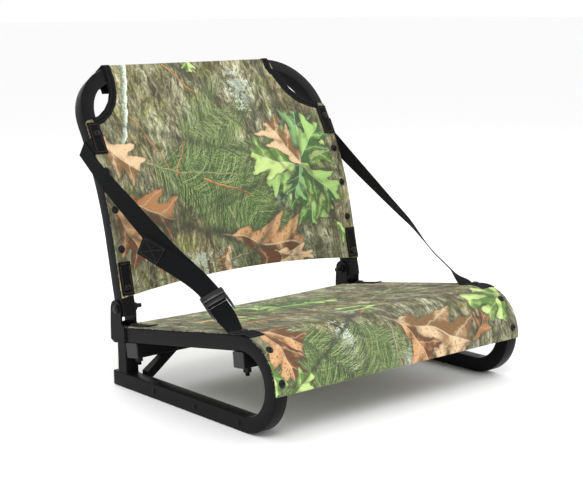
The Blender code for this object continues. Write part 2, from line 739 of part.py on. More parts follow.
def build_backrest(hinge):
    inner = TUBE - 2 * WALL
    half, top = HALF_WIDTH - TUBE / 2, BACK_HEIGHT - TUBE / 2
    shoulder = top - CORNER_RADIUS
    foot = -BACK_FOOT
    run = [(-half, foot + (shoulder - foot) * k / 12, -1, 0) for k in range(13)]
    for k in range(1, 9):
        angle = math.pi / 2 * k / 8
        out, up = math.cos(angle), math.sin(angle)
        run.append((-half + CORNER_RADIUS * (1 - out), shoulder + CORNER_RADIUS * up, -out, up))
    run += [(-x, s, -nx, ns) for x, s, nx, ns in reversed(run)]
    stations = [lambda a, b, p=p: back_point(p[0] + p[2] * a, p[1] + p[3] * a, b) for p in run]
    tube = sweep(stations, square(TUBE, TUBE, TUBE_EDGE), square(inner, inner, TUBE_EDGE / 2))
    frame = finished("backrest_frame", tube, BLACK_STEEL, hinge)
    sling = back_sling(hinge)
    for side, name in SIDES:
        x = rail_x(side)
        patches = {}
        for level, s in zip(("lower", "upper"), PATCH_S):
            patches[level] = back_patch(side, name, level, s, hinge)
        loop = strap_loop(side, name, hinge)
        for k in range(BACK_SCREWS):
            s = BACK_SCREW_FIRST + BACK_SCREW_PITCH * k
            forward = TUBE / 2 + 2 * GAP + CLOTH
            targets = [frame, sling]
            for level, middle in zip(("lower", "upper"), PATCH_S):
                if abs(s - middle) < PATCH_LONG / 2:
                    forward += WEB_THICK + GAP
                    targets.append(patches[level])
            screw(f"{name}_back_screw_{k + 1}", back_point(x, s, forward), back_normal(s), targets, hinge)
    return frame


def build_hinges(frame, hinge):
    """Bolts through each bracket's ears and the foot of the upright between them."""
    for side, name in SIDES:
        bracket = hinge_bracket(side, name)
        reach = TUBE / 2 + GAP + PLATE
        head_at = Vector((rail_x(side) + side * (reach + GAP), HINGE_Y, HINGE_Z))
        grip = 2 * reach + 2 * GAP
        bolt_and_nut(f"{name}_hinge", head_at, (-side, 0, 0), grip, (bracket, frame), HINGE_BOLT)


def build_straps():
    start = rail_point(0, PIVOT_Y, TUBE / 2 + PIVOT_LIFT)
    for side, name in SIDES:
        turn = pivot(f"{name}_strap_pivot", start.y, start.z)
        if name == "left":
            strap(side, "left_lower_strap", 0.004, BUCKLE_AT - GAP, turn)
            strap(side, "left_upper_strap", BUCKLE_AT + GAP, STRAP_LONG, turn)
            buckle(side, turn)
        else:
            strap(side, "right_strap", 0.004, STRAP_LONG, turn)


clear_scene()
hinge_pivot = pivot("backrest_pivot", HINGE_Y, HINGE_Z)
build_base()
build_hinges(build_backrest(hinge_pivot), hinge_pivot)
build_straps()
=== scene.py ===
"""The looks of the folding ground seat: tubes, printed slings, webbing, fasteners, floor, light and camera.

Metres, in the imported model's frame: +Z up, the seat faces -Y, and left is -X.
"""

import json
import math
import random

import bpy
import numpy as np
from mathutils import Matrix, Vector


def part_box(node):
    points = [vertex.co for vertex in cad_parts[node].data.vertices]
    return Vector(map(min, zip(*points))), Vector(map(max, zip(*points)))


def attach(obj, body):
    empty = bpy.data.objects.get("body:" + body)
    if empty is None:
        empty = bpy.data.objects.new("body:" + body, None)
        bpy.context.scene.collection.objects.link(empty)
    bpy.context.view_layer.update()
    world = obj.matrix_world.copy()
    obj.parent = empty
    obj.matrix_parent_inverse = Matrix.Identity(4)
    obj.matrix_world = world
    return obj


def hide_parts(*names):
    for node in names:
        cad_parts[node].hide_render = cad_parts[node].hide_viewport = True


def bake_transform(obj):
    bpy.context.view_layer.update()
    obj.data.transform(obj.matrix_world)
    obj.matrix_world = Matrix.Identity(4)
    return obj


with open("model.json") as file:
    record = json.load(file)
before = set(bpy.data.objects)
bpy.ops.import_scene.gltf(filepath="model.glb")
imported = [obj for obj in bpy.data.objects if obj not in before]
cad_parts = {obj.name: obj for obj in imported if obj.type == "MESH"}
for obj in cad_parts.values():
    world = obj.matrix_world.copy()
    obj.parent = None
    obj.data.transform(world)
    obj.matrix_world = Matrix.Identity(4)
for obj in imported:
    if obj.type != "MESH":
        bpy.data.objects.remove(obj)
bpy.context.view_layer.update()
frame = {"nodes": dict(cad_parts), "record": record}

# Sizes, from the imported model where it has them
HINGE = Vector(frame["record"]["behaviour"]["joints"][0]["pos_m"])
RAIL_LOW, RAIL_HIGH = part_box("right_side_frame")
TUBE = RAIL_HIGH.x - RAIL_LOW.x
HALF = RAIL_HIGH.x
RAIL_X = HALF - TUBE / 2
BEND_RADIUS = 0.0634
SLOPE = math.radians(8.3)
BEND_Y = RAIL_LOW.y + BEND_RADIUS + TUBE / 2
BEND_Z = TUBE / 2 + BEND_RADIUS
LEAN_LOW = math.radians(12.0)
LEAN_HIGH = math.radians(32.0)
LEAN_RADIUS = 0.600
LEAN_MIDDLE = 0.223
BACK_HEIGHT = 0.4304
BACK_AHEAD = 0.0040
BACK_FOOT = 0.0135
COLLAR_FRONT = 0.0210
FRONT_BAR_TILT = math.radians(5.5)
BOLT_HEAD_HIGH = 0.0036
CORNER_RADIUS = 0.0909
TUBE_EDGE = 0.0013
TUBE_CORNER = 0.0022  # radius of the tubes' rounded corners
BACK_TOP = BACK_HEIGHT - TUBE_EDGE  # where the cloth starts to turn over the top bar
GAP = 0.0003
CLOTH = 0.0012
STRAP_WIDE = 0.03175
WEB_THICK = 0.0015
BACK_SCREW_FIRST = 0.034
BACK_SCREW_PITCH = 0.0665
BACK_SCREW_S = [BACK_SCREW_FIRST + BACK_SCREW_PITCH * k for k in range(5)]
PATCH_S = (0.050, 0.292)
PATCH_LONG = 0.057
RAIL_SCREW_Y = [HINGE.y - y for y in (0.1015, 0.1610, 0.2185, 0.2710)]
BEND_SCREW_ANGLES = (math.radians(38.5), math.radians(79.0))
SIDES = ((-1, "left"), (1, "right"))


# Mesh helpers


def new_object(name, verts, faces, material, uvs=None, smooth_angle=30):
    """A mesh object; uvs has one (u, v) for each vertex."""
    mesh = bpy.data.meshes.new(name)
    mesh.from_pydata([tuple(v) for v in verts], [], faces)
    if uvs is not None:
        layer = mesh.uv_layers.new(name="flat")
        loops = np.zeros(len(mesh.loops), int)
        mesh.loops.foreach_get("vertex_index", loops)
        layer.data.foreach_set("uv", np.asarray(uvs, float)[loops].ravel())
    mesh.shade_smooth()
    mesh.set_sharp_from_angle(angle=math.radians(smooth_angle))
    mesh.materials.append(material)
    obj = bpy.data.objects.new(name, mesh)
    bpy.context.scene.collection.objects.link(obj)
    return obj


def swept(name, rings, material, uvs=None, smooth_angle=30):
    """A tube through rings of points, each a closed loop with the same count."""
    count = len(rings[0])
    verts = [p for ring in rings for p in ring]
    faces = []
    for r in range(len(rings) - 1):
        for i in range(count):
            j = (i + 1) % count
            a, b = r * count, (r + 1) * count
            faces.append((a + i, a + j, b + j, b + i))
    faces.append(tuple(reversed(range(count))))
    faces.append(tuple(range((len(rings) - 1) * count, len(rings) * count)))
    obj = new_object(name, verts, faces, material, uvs, smooth_angle)
    face_outwards(obj)
    return obj


def face_outwards(obj):
    """Turn a closed mesh's faces so that its volume is positive."""
    mesh = obj.data
    volume = 0.0
    for poly in mesh.polygons:
        points = [mesh.vertices[v].co for v in poly.vertices]
        for one, two in zip(points[1:], points[2:]):
            volume += points[0].dot(one.cross(two))
    if volume < 0:
        mesh.flip_normals()


def rounded_square(width, depth, radius, steps=3):
    """The outline of a square tube with rounded corners, counter-clockwise."""
    points = []
    for quarter, (sx, sy) in enumerate(((1, -1), (1, 1), (-1, 1), (-1, -1))):
        cx, cy = sx * (width / 2 - radius), sy * (depth / 2 - radius)
        for k in range(steps + 1):
            angle = math.radians(-90 + 90 * quarter + 90 * k / steps)
            points.append((cx + radius * math.cos(angle), cy + radius * math.sin(angle)))
    return points


def cloth_sheet(name, grid, uv, material, thickness=CLOTH):
    """A closed sheet whose outer side is a grid of points, thickened inwards."""
    grid = np.asarray(grid, float)
    rows, columns = grid.shape[:2]
    across = np.gradient(grid, axis=1)
    along = np.gradient(grid, axis=0)
    normal = np.cross(across, along)
    normal /= np.maximum(np.linalg.norm(normal, axis=2, keepdims=True), 1e-12)
    inner = grid - normal * thickness
    verts = np.concatenate([grid.reshape(-1, 3), inner.reshape(-1, 3)])
    both = np.concatenate([np.asarray(uv, float).reshape(-1, 2)] * 2)
    index = np.arange(rows * columns).reshape(rows, columns)
    a, b = index[:-1, :-1].ravel(), index[:-1, 1:].ravel()
    c, d = index[1:, 1:].ravel(), index[1:, :-1].ravel()
    faces = np.stack([a, b, c, d], 1).tolist()
    shift = rows * columns
    faces += (np.stack([d, c, b, a], 1) + shift).tolist()
    rim = [*index[0, :], *index[1:, -1], *index[-1, -2::-1], *index[-2:0:-1, 0]]
    for one, two in zip(rim, rim[1:] + rim[:1]):
        faces.append((int(two), int(one), int(one) + shift, int(two) + shift))
    obj = new_object(name, verts, faces, material, both, 40)
    face_outwards(obj)
    return obj


def ribbon(name, stations, material, width=STRAP_WIDE):
    """Webbing through (centre, width direction, normal) stations, with a map across and along it."""
    edge = WEB_THICK * 0.45
    half, low = width / 2, WEB_THICK / 2
    outline = [
        (-half, -low + edge), (-half + edge, -low), (half - edge, -low), (half, -low + edge),
        (half, low - edge), (half - edge, low), (-half + edge, low), (-half, low - edge),
    ]
    rings, uvs, run, last = [], [], 0.0, None
    for centre, wide, normal in stations:
        centre = Vector(centre)
        run += (centre - last).length if last else 0
        last = centre
        rings.append([centre + wide * a + normal * b for a, b in outline])
        uvs += [(a, run) for a, b in outline]
    return swept(name, rings, material, uvs)


def lathe(name, rings, place, material, sides):
    """A turned piece: rings are (radius, height) or (radius, height, "hex"), from one end to the other."""
    verts, faces = [], []
    for ring in rings:
        radius, height = ring[0], ring[1]
        for k in range(sides):
            angle = 2 * math.pi * k / sides
            reach = radius
            if len(ring) == 3:
                reach *= math.cos(math.pi / 6) / math.cos(angle % (math.pi / 3) - math.pi / 6)
            verts.append(place @ Vector((reach * math.cos(angle), reach * math.sin(angle), height)))
    for r in range(len(rings) - 1):
        for i in range(sides):
            j = (i + 1) % sides
            faces.append((r * sides + i, r * sides + j, (r + 1) * sides + j, (r + 1) * sides + i))
    faces.append(tuple(range(sides)))
    faces.append(tuple((len(rings) - 1) * sides + i for i in range(sides)))
    obj = new_object(name, verts, faces, material)
    face_outwards(obj)
    return obj


def place_at(origin, z_axis):
    """A frame at a point, with its Z along z_axis."""
    z = Vector(z_axis).normalized()
    x = Vector((0, 1, 0)) if abs(z.x) > 0.9 else Vector((1, 0, 0))
    x = (x - z * x.dot(z)).normalized()
    return Matrix.Translation(origin) @ Matrix((x, z.cross(x), z)).transposed().to_4x4()


def joined(name, objects, body):
    """Several meshes as one object, riding a body if one is given."""
    first = objects[0]
    with bpy.context.temp_override(active_object=first, selected_editable_objects=objects):
        bpy.ops.object.join()
    first.name = name
    if body:
        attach(first, body)
    return first


# Places on the frame, as in the CAD


def bend_normal(angle):
    return Vector((0, -math.sin(angle), math.cos(angle)))


def bend_point(x, angle, radius):
    """On the front bend; angle is from straight up towards the front."""
    return Vector((x, BEND_Y, BEND_Z)) + bend_normal(angle) * radius


RAIL_UP = bend_normal(-SLOPE)
RAIL_BACK = Vector((0, math.cos(SLOPE), -math.sin(SLOPE)))


def rail_point(x, y, height):
    """Over the upper rail, at y on its centreline and height above it."""
    start = bend_point(x, -SLOPE, BEND_RADIUS)
    return start + RAIL_BACK * ((y - start.y) / RAIL_BACK.y) + RAIL_UP * height


def back_profile(s):
    """(y, z, lean) of the upright at distance s above the hinge."""
    curve = LEAN_RADIUS * (LEAN_HIGH - LEAN_LOW)
    before = min(s, LEAN_MIDDLE - curve / 2)
    inside = min(max(s - (LEAN_MIDDLE - curve / 2), 0), curve)
    after = max(s - (LEAN_MIDDLE + curve / 2), 0)
    lean = LEAN_LOW + inside / LEAN_RADIUS
    y = before * math.sin(LEAN_LOW) + LEAN_RADIUS * (math.cos(LEAN_LOW) - math.cos(lean)) - BACK_AHEAD
    z = before * math.cos(LEAN_LOW) + LEAN_RADIUS * (math.sin(lean) - math.sin(LEAN_LOW))
    return y + after * math.sin(lean), z + after * math.cos(lean), lean


def back_normal(s):
    lean = back_profile(s)[2]
    return Vector((0, -math.cos(lean), math.sin(lean)))


def back_along(s):
    lean = back_profile(s)[2]
    return Vector((0, math.sin(lean), math.cos(lean)))


def back_point(x, s, forward):
    y, z, _ = back_profile(s)
    return Vector((x, HINGE.y + y, HINGE.z + z)) + back_normal(s) * forward


SEAT_REAR_Y = HINGE.y - 0.004
SEAT_STRAIGHT = (SEAT_REAR_Y - bend_point(0, -SLOPE, BEND_RADIUS).y) / math.cos(SLOPE)
SEAT_NOTCH = 0.0262
SEAT_LONG = SEAT_STRAIGHT + (math.radians(93) + SLOPE) * (BEND_RADIUS + TUBE / 2)


def seat_frame(x, run):
    """(point on top of the rails, normal) at a distance from the seat's rear edge."""
    if run < SEAT_STRAIGHT:
        y = SEAT_REAR_Y - run * math.cos(SLOPE)
        return rail_point(x, y, TUBE / 2), RAIL_UP
    angle = -SLOPE + (run - SEAT_STRAIGHT) / (BEND_RADIUS + TUBE / 2)
    return bend_point(x, angle, BEND_RADIUS + TUBE / 2), bend_normal(angle)


def seat_point(x, run, height):
    point, normal = seat_frame(x, run)
    return point + normal * height


def seat_run(y):
    """The distance from the seat's rear edge of a rail point at y."""
    return (SEAT_REAR_Y - y) / math.cos(SLOPE)


def over_back(x, run, height):
    """On the back cloth: up the front to the top bar, over it and down behind; height is off the tube."""
    if run <= BACK_TOP:
        return back_point(x, run, TUBE / 2 + height)
    radius = TUBE_EDGE + height
    middle = TUBE / 2 - TUBE_EDGE
    arc = math.pi / 2 * (TUBE_EDGE + 0.001)
    past = run - BACK_TOP
    if past < arc:
        angle = math.pi / 2 * past / arc
        return back_point(x, BACK_TOP + radius * math.sin(angle), middle + radius * math.cos(angle))
    past -= arc
    if past < 2 * middle:
        return back_point(x, BACK_HEIGHT + height, middle - past)
    past -= 2 * middle
    if past < arc:
        angle = math.pi / 2 * past / arc
        return back_point(x, BACK_TOP + radius * math.cos(angle), -middle - radius * math.sin(angle))
    return back_point(x, BACK_TOP - (past - arc), -TUBE / 2 - height)


# Material helpers


class Graph:
    """Short calls that add nodes to a node tree and link them."""

    def __init__(self, tree):
        self.tree = tree

    def put(self, value, socket):
        if isinstance(value, bpy.types.NodeSocket):
            self.tree.links.new(value, socket)
        elif value is not None:
            size = len(socket.default_value) if hasattr(socket.default_value, "__len__") else 0
            socket.default_value = (*value, 1) if size == 4 and len(value) == 3 else value

    def node(self, kind, inputs=(), **settings):
        made = self.tree.nodes.new(kind)
        for key, value in settings.items():
            setattr(made, key, value)
        for key, value in dict(inputs).items():
            self.put(value, made.inputs[key])
        return made

    def math(self, operation, *values, clamp=False):
        made = self.node("ShaderNodeMath", operation=operation, use_clamp=clamp)
        for value, socket in zip(values, made.inputs):
            self.put(value, socket)
        return made.outputs[0]

    def plus(self, one, two, clamp=False):
        return self.math("ADD", one, two, clamp=clamp)

    def minus(self, one, two):
        return self.math("SUBTRACT", one, two)

    def times(self, one, two):
        return self.math("MULTIPLY", one, two)

    def scaled(self, value, factor, offset, clamp=False):
        return self.math("MULTIPLY_ADD", value, factor, offset, clamp=clamp)

    def vector(self, operation, *values):
        made = self.node("ShaderNodeVectorMath", dict(enumerate(values)), operation=operation)
        return made.outputs["Value" if operation == "LENGTH" else 0]

    def dress(self, shader, inputs):
        for key, value in inputs.items():
            self.put(value, shader.inputs[key])

    def band(self, value, low, high):
        """0 below low and 1 above high, or the other way round when low is the larger."""
        inputs = {"Value": value, "From Min": low, "From Max": high}
        return self.node("ShaderNodeMapRange", inputs, interpolation_type="SMOOTHSTEP").outputs[0]

    def noise(self, vector, scale, detail=2.0, rough=0.5, distortion=0.0):
        inputs = {"Vector": vector, "Scale": scale, "Detail": detail, "Roughness": rough}
        inputs["Distortion"] = distortion
        return self.node("ShaderNodeTexNoise", inputs).outputs["Fac"]

    def stretched(self, vector, scale, turn=0.0, shift=(0, 0, 0)):
        inputs = {"Vector": vector, "Scale": scale, "Rotation": (0, 0, turn), "Location": shift}
        return self.node("ShaderNodeMapping", inputs).outputs[0]

    def ramp(self, value, stops):
        made = self.node("ShaderNodeValToRGB", {"Fac": value})
        elements = made.color_ramp.elements
        while len(elements) < len(stops):
            elements.new(0.5)
        for element, (place, colour) in zip(elements, stops):
            element.position = place
            element.color = (*colour, 1)
        return made.outputs["Color"]

    def mix(self, factor, one, two, blend="MIX"):
        made = self.node("ShaderNodeMix", data_type="RGBA", blend_type=blend)
        self.put(factor, made.inputs[0])
        self.put(one, made.inputs[6])
        self.put(two, made.inputs[7])
        return made.outputs[2]

    def parts(self, vector):
        return self.node("ShaderNodeSeparateXYZ", {"Vector": vector}).outputs

    def join(self, x, y, z=0.0):
        return self.node("ShaderNodeCombineXYZ", {"X": x, "Y": y, "Z": z}).outputs[0]


def new_material(name):
    """A material, its graph and its Principled shader."""
    made = bpy.data.materials.new(name)
    made.use_nodes = True
    graph = Graph(made.node_tree)
    return made, graph, made.node_tree.nodes["Principled BSDF"]


def bump(graph, shader, height, strength, distance):
    inputs = {"Height": height, "Strength": strength, "Distance": distance}
    graph.put(graph.node("ShaderNodeBump", inputs).outputs[0], shader.inputs["Normal"])


def powder_coat():
    """Satin black powder coat: fine orange peel, and a little dust and wear in the gloss."""
    made, graph, shader = new_material("powder_coat")
    place = graph.node("ShaderNodeTexCoord").outputs["Object"]
    peel = graph.noise(place, 900, 2)
    cloud = graph.noise(place, 14, 3)
    colour = graph.mix(cloud, (0.0030, 0.0031, 0.0034), (0.0070, 0.0071, 0.0075))
    roughness = graph.scaled(cloud, 0.16, 0.34)
    graph.dress(shader, {"Base Color": colour, "Roughness": roughness, "Specular IOR Level": 0.09})
    bump(graph, shader, peel, 0.22, 0.0002)
    return made


def moulded_plastic(name, colour, roughness):
    """Matt moulded plastic with a fine grain."""
    made, graph, shader = new_material(name)
    place = graph.node("ShaderNodeTexCoord").outputs["Object"]
    grain = graph.noise(place, 1600, 2)
    tone = graph.mix(graph.noise(place, 60, 2), colour, [c * 1.5 for c in colour])
    gloss = graph.scaled(grain, 0.2, roughness - 0.1)
    graph.dress(shader, {"Base Color": tone, "Roughness": gloss, "Specular IOR Level": 0.35})
    bump(graph, shader, grain, 0.12, 0.0001)
    return made


def black_oxide():
    """Blackened steel screws: darker than the frame, glossier, and rubbed bright in tiny specks."""
    made, graph, shader = new_material("black_oxide")
    place = graph.node("ShaderNodeTexCoord").outputs["Object"]
    wear = graph.band(graph.noise(place, 420, 4, 0.7), 0.66, 0.74)
    colour = graph.mix(wear, (0.005, 0.005, 0.0055), (0.05, 0.05, 0.052))
    roughness = graph.scaled(graph.noise(place, 200, 2), 0.2, 0.2)
    graph.dress(shader, {"Base Color": colour, "Metallic": 0.3, "Roughness": roughness})
    graph.dress(shader, {"Specular IOR Level": 0.3})
    return made


def webbing(name):
    """Woven black webbing: fine ribs across it, crossed by the warp, and fuzzy edges. Its colour is painted darker
    in the grooves between the ribs and lighter on their tops, as painted shade.
    """
    made, graph, shader = new_material(name)
    flat = graph.node("ShaderNodeUVMap", uv_map="flat").outputs[0]
    across, along, _ = graph.parts(flat)
    ribs = graph.math("SINE", graph.times(along, 2 * math.pi / 0.00115))
    warp = graph.math("SINE", graph.times(across, 2 * math.pi / 0.0016))
    weave = graph.scaled(graph.times(ribs, warp), 0.35, graph.times(ribs, 0.65))
    height = graph.scaled(weave, 0.5, 0.5)
    fuzz = graph.noise(graph.stretched(flat, (900, 300, 1)), 1.0, 3)
    # the rib height darkens the grooves and lightens the rib tops in the colour: painted shade; the fuzz is the
    # yarn's own tone
    tone = graph.scaled(fuzz, 0.5, graph.times(height, 0.5), clamp=True)
    colour = graph.ramp(tone, ((0.3, (0.0012, 0.0013, 0.0015)), (0.8, (0.0115, 0.0122, 0.0132))))
    graph.dress(shader, {"Base Color": colour, "Roughness": 0.8})
    graph.dress(shader, {"Specular IOR Level": 0.06, "Sheen Weight": 0.02})
    bump(graph, shader, graph.scaled(fuzz, 0.25, height), 0.7, 0.0004)
    return made


def thread(name, colour):
    """Twisted sewing thread."""
    made, graph, shader = new_material(name)
    place = graph.node("ShaderNodeTexCoord").outputs["Object"]
    twist = graph.noise(place, 2500, 2)
    shade = graph.mix(twist, [c * 0.6 for c in colour], colour)
    graph.dress(shader, {"Base Color": shade, "Roughness": 0.75})
    return made


# The print, made of generic leaves, needles, twigs and bark


SOCKETS = {
    "Vector": "NodeSocketVector",
    "Color": "NodeSocketColor",
    "Dark": "NodeSocketColor",
    "Light": "NodeSocketColor",
}


def node_group(name, inputs, outputs):
    """A node group with the named sockets, its graph, its inputs and its outputs."""
    tree = bpy.data.node_groups.new(name, "ShaderNodeTree")
    for labels, way in ((inputs, "INPUT"), (outputs, "OUTPUT")):
        for label in labels.split():
            tree.interface.new_socket(label, in_out=way, socket_type=SOCKETS.get(label, "NodeSocketFloat"))
    graph = Graph(tree)
    return tree, graph, graph.node("NodeGroupInput").outputs, graph.node("NodeGroupOutput").inputs


def oak_leaf_group():
    """A lobed leaf along X from 0 to 1: its colour, its mask and the shade around it."""
    tree, g, given, result = node_group("oak_leaf", "Vector Dark Light Lobes Seed Speckle", "Color Mask Shade")
    x, y, _ = g.parts(given["Vector"])
    seeded = g.join(x, y, given["Seed"])
    wobble = g.scaled(g.noise(seeded, 2.2, 1), 0.20, -0.10)
    y = g.plus(y, wobble)
    side = g.math("ABSOLUTE", y)
    ragged = g.scaled(g.noise(seeded, 9, 2, 0.6), 0.12, -0.06)
    back = g.plus(g.scaled(side, -0.85, x), ragged)
    inside = g.scaled(back, 1.15, 0.06, clamp=True)
    envelope = g.math("POWER", g.math("SINE", g.times(inside, math.pi)), 0.75)
    turns = g.times(back, g.times(given["Lobes"], 2 * math.pi))
    lobe = g.scaled(g.math("COSINE", turns), 0.30, 0.70)
    width = g.times(g.times(envelope, lobe), 0.34)
    edge = g.minus(width, side)
    stem_reach = g.times(g.band(x, -0.16, -0.14), g.band(x, 0.2, 0.1))
    stem = g.times(g.band(side, 0.014, 0.006), stem_reach)
    body = g.band(edge, 0.0, 0.012)
    g.put(g.math("MAXIMUM", body, stem), result["Mask"])
    g.put(g.band(edge, -0.10, 0.02), result["Shade"])
    midrib = g.band(side, 0.012, 0.003)
    spread = g.math("FRACT", g.plus(g.times(back, given["Lobes"]), 0.5))
    vein = g.band(g.math("ABSOLUTE", g.minus(spread, 0.5)), 0.055, 0.015)
    veins = g.math("MAXIMUM", midrib, g.times(vein, 0.55))
    mottle = g.noise(seeded, 6, 4, 0.6)
    half = g.scaled(g.band(y, -0.03, 0.03), 0.35, -0.1)
    ribbing = g.times(g.math("ABSOLUTE", g.minus(spread, 0.5)), 0.5)
    tone = g.plus(g.plus(mottle, half), g.minus(0.12, ribbing), clamp=True)
    colour = g.mix(g.band(tone, 0.36, 0.80), given["Dark"], given["Light"])
    speck = g.times(g.band(g.noise(seeded, 38, 2), 0.56, 0.66), given["Speckle"])
    colour = g.mix(speck, colour, g.mix(0.35, (0.05, 0.02, 0.008), given["Dark"]))
    colour = g.mix(g.times(veins, 0.6), colour, g.mix(0.55, given["Light"], (0.8, 0.8, 0.6)))
    rim = g.band(edge, 0.05, 0.0)
    colour = g.mix(g.times(rim, 0.45), colour, g.mix(0.5, given["Dark"], (0.02, 0.02, 0.01)))
    g.put(colour, result["Color"])
    return tree


def needle_group():
    """A pine spray: needles leave a stem along X on both sides, in three crossing layers, one unit long."""
    tree, g, given, result = node_group("needles", "Vector Count Reach Bend Seed", "Color Mask")
    x, y, _ = g.parts(given["Vector"])
    seeded = g.join(x, y, given["Seed"])
    x = g.plus(x, g.scaled(g.noise(seeded, 1.5, 0), 0.26, -0.13))
    y = g.plus(y, g.scaled(g.noise(g.join(x, 0.0, given["Seed"]), 1.2, 0), 0.20, -0.10))
    side, away = g.math("SIGN", y), g.math("ABSOLUTE", y)
    curl = g.times(g.times(away, away), given["Bend"])
    stops = (
        (0.0, (0.010, 0.028, 0.008)), (0.35, (0.034, 0.088, 0.018)),
        (0.70, (0.110, 0.215, 0.045)), (1.0, (0.380, 0.440, 0.190)),
    )  # fmt: skip
    colour, mask = None, None
    for slope, share, shift in ((1.9, 1.0, 0.31), (1.2, 0.83, 7.7), (0.6, 0.71, 15.4)):
        root = g.plus(g.scaled(away, -slope, x), curl)
        cells = g.scaled(root, g.times(given["Count"], share), given["Seed"])
        cells = g.plus(cells, g.times(side, shift))
        whole = g.math("FLOOR", cells)
        chance = g.node("ShaderNodeTexWhiteNoise", {"W": whole}, noise_dimensions="1D").outputs["Value"]
        off = g.math("ABSOLUTE", g.minus(g.math("FRACT", cells), 0.5))
        line = g.band(off, 0.22, 0.08)
        longest = g.times(given["Reach"], g.scaled(chance, 0.6, 0.4))
        ended = g.band(g.minus(longest, away), 0.0, 0.03)
        grown = g.times(g.band(root, 0.0, 0.02), g.band(root, 1.0, 0.97))
        here = g.times(g.times(line, ended), grown)
        shade = g.ramp(g.math("FRACT", g.times(chance, 7.31)), stops)
        colour = shade if colour is None else g.mix(here, colour, shade)
        mask = here if mask is None else g.math("MAXIMUM", mask, here)
    g.put(colour, result["Color"])
    g.put(mask, result["Mask"])
    return tree


def twig_group():
    """A wavy twig along X from 0 to 1, with rough bark and a lit side."""
    tree, g, given, result = node_group("twig", "Vector Width Seed Dark Light", "Color Mask")
    x, y, _ = g.parts(given["Vector"])
    along = g.join(x, 0.0, given["Seed"])
    y = g.plus(y, g.scaled(g.noise(along, 2.6, 2), 0.16, -0.08))
    rough = g.scaled(g.noise(g.join(x, y, given["Seed"]), 30, 2), 0.9, 0.55)
    width = g.times(g.times(given["Width"], rough), g.scaled(x, -0.5, 1.1))
    ends = g.times(g.band(x, 0.0, 0.02), g.band(x, 1.0, 0.97))
    edge = g.minus(width, g.math("ABSOLUTE", y))
    g.put(g.times(g.band(edge, 0.0, 0.003), ends), result["Mask"])
    lit = g.scaled(g.math("DIVIDE", y, given["Width"]), 0.35, g.noise(given["Vector"], 45, 3))
    g.put(g.mix(g.band(lit, 0.2, 0.85), given["Dark"], given["Light"]), result["Color"])
    return tree


LEAF_GREENS = (
    ((0.040, 0.115, 0.022), (0.36, 0.58, 0.16)),
    ((0.022, 0.080, 0.026), (0.22, 0.43, 0.15)),
    ((0.095, 0.200, 0.030), (0.55, 0.72, 0.24)),
)
LEAF_BROWNS = (
    ((0.130, 0.042, 0.012), (0.66, 0.36, 0.16)),
    ((0.210, 0.105, 0.036), (0.76, 0.53, 0.31)),
    ((0.085, 0.028, 0.009), (0.42, 0.19, 0.07)),
)


NUDGE = 1e-7  # too little to move the print


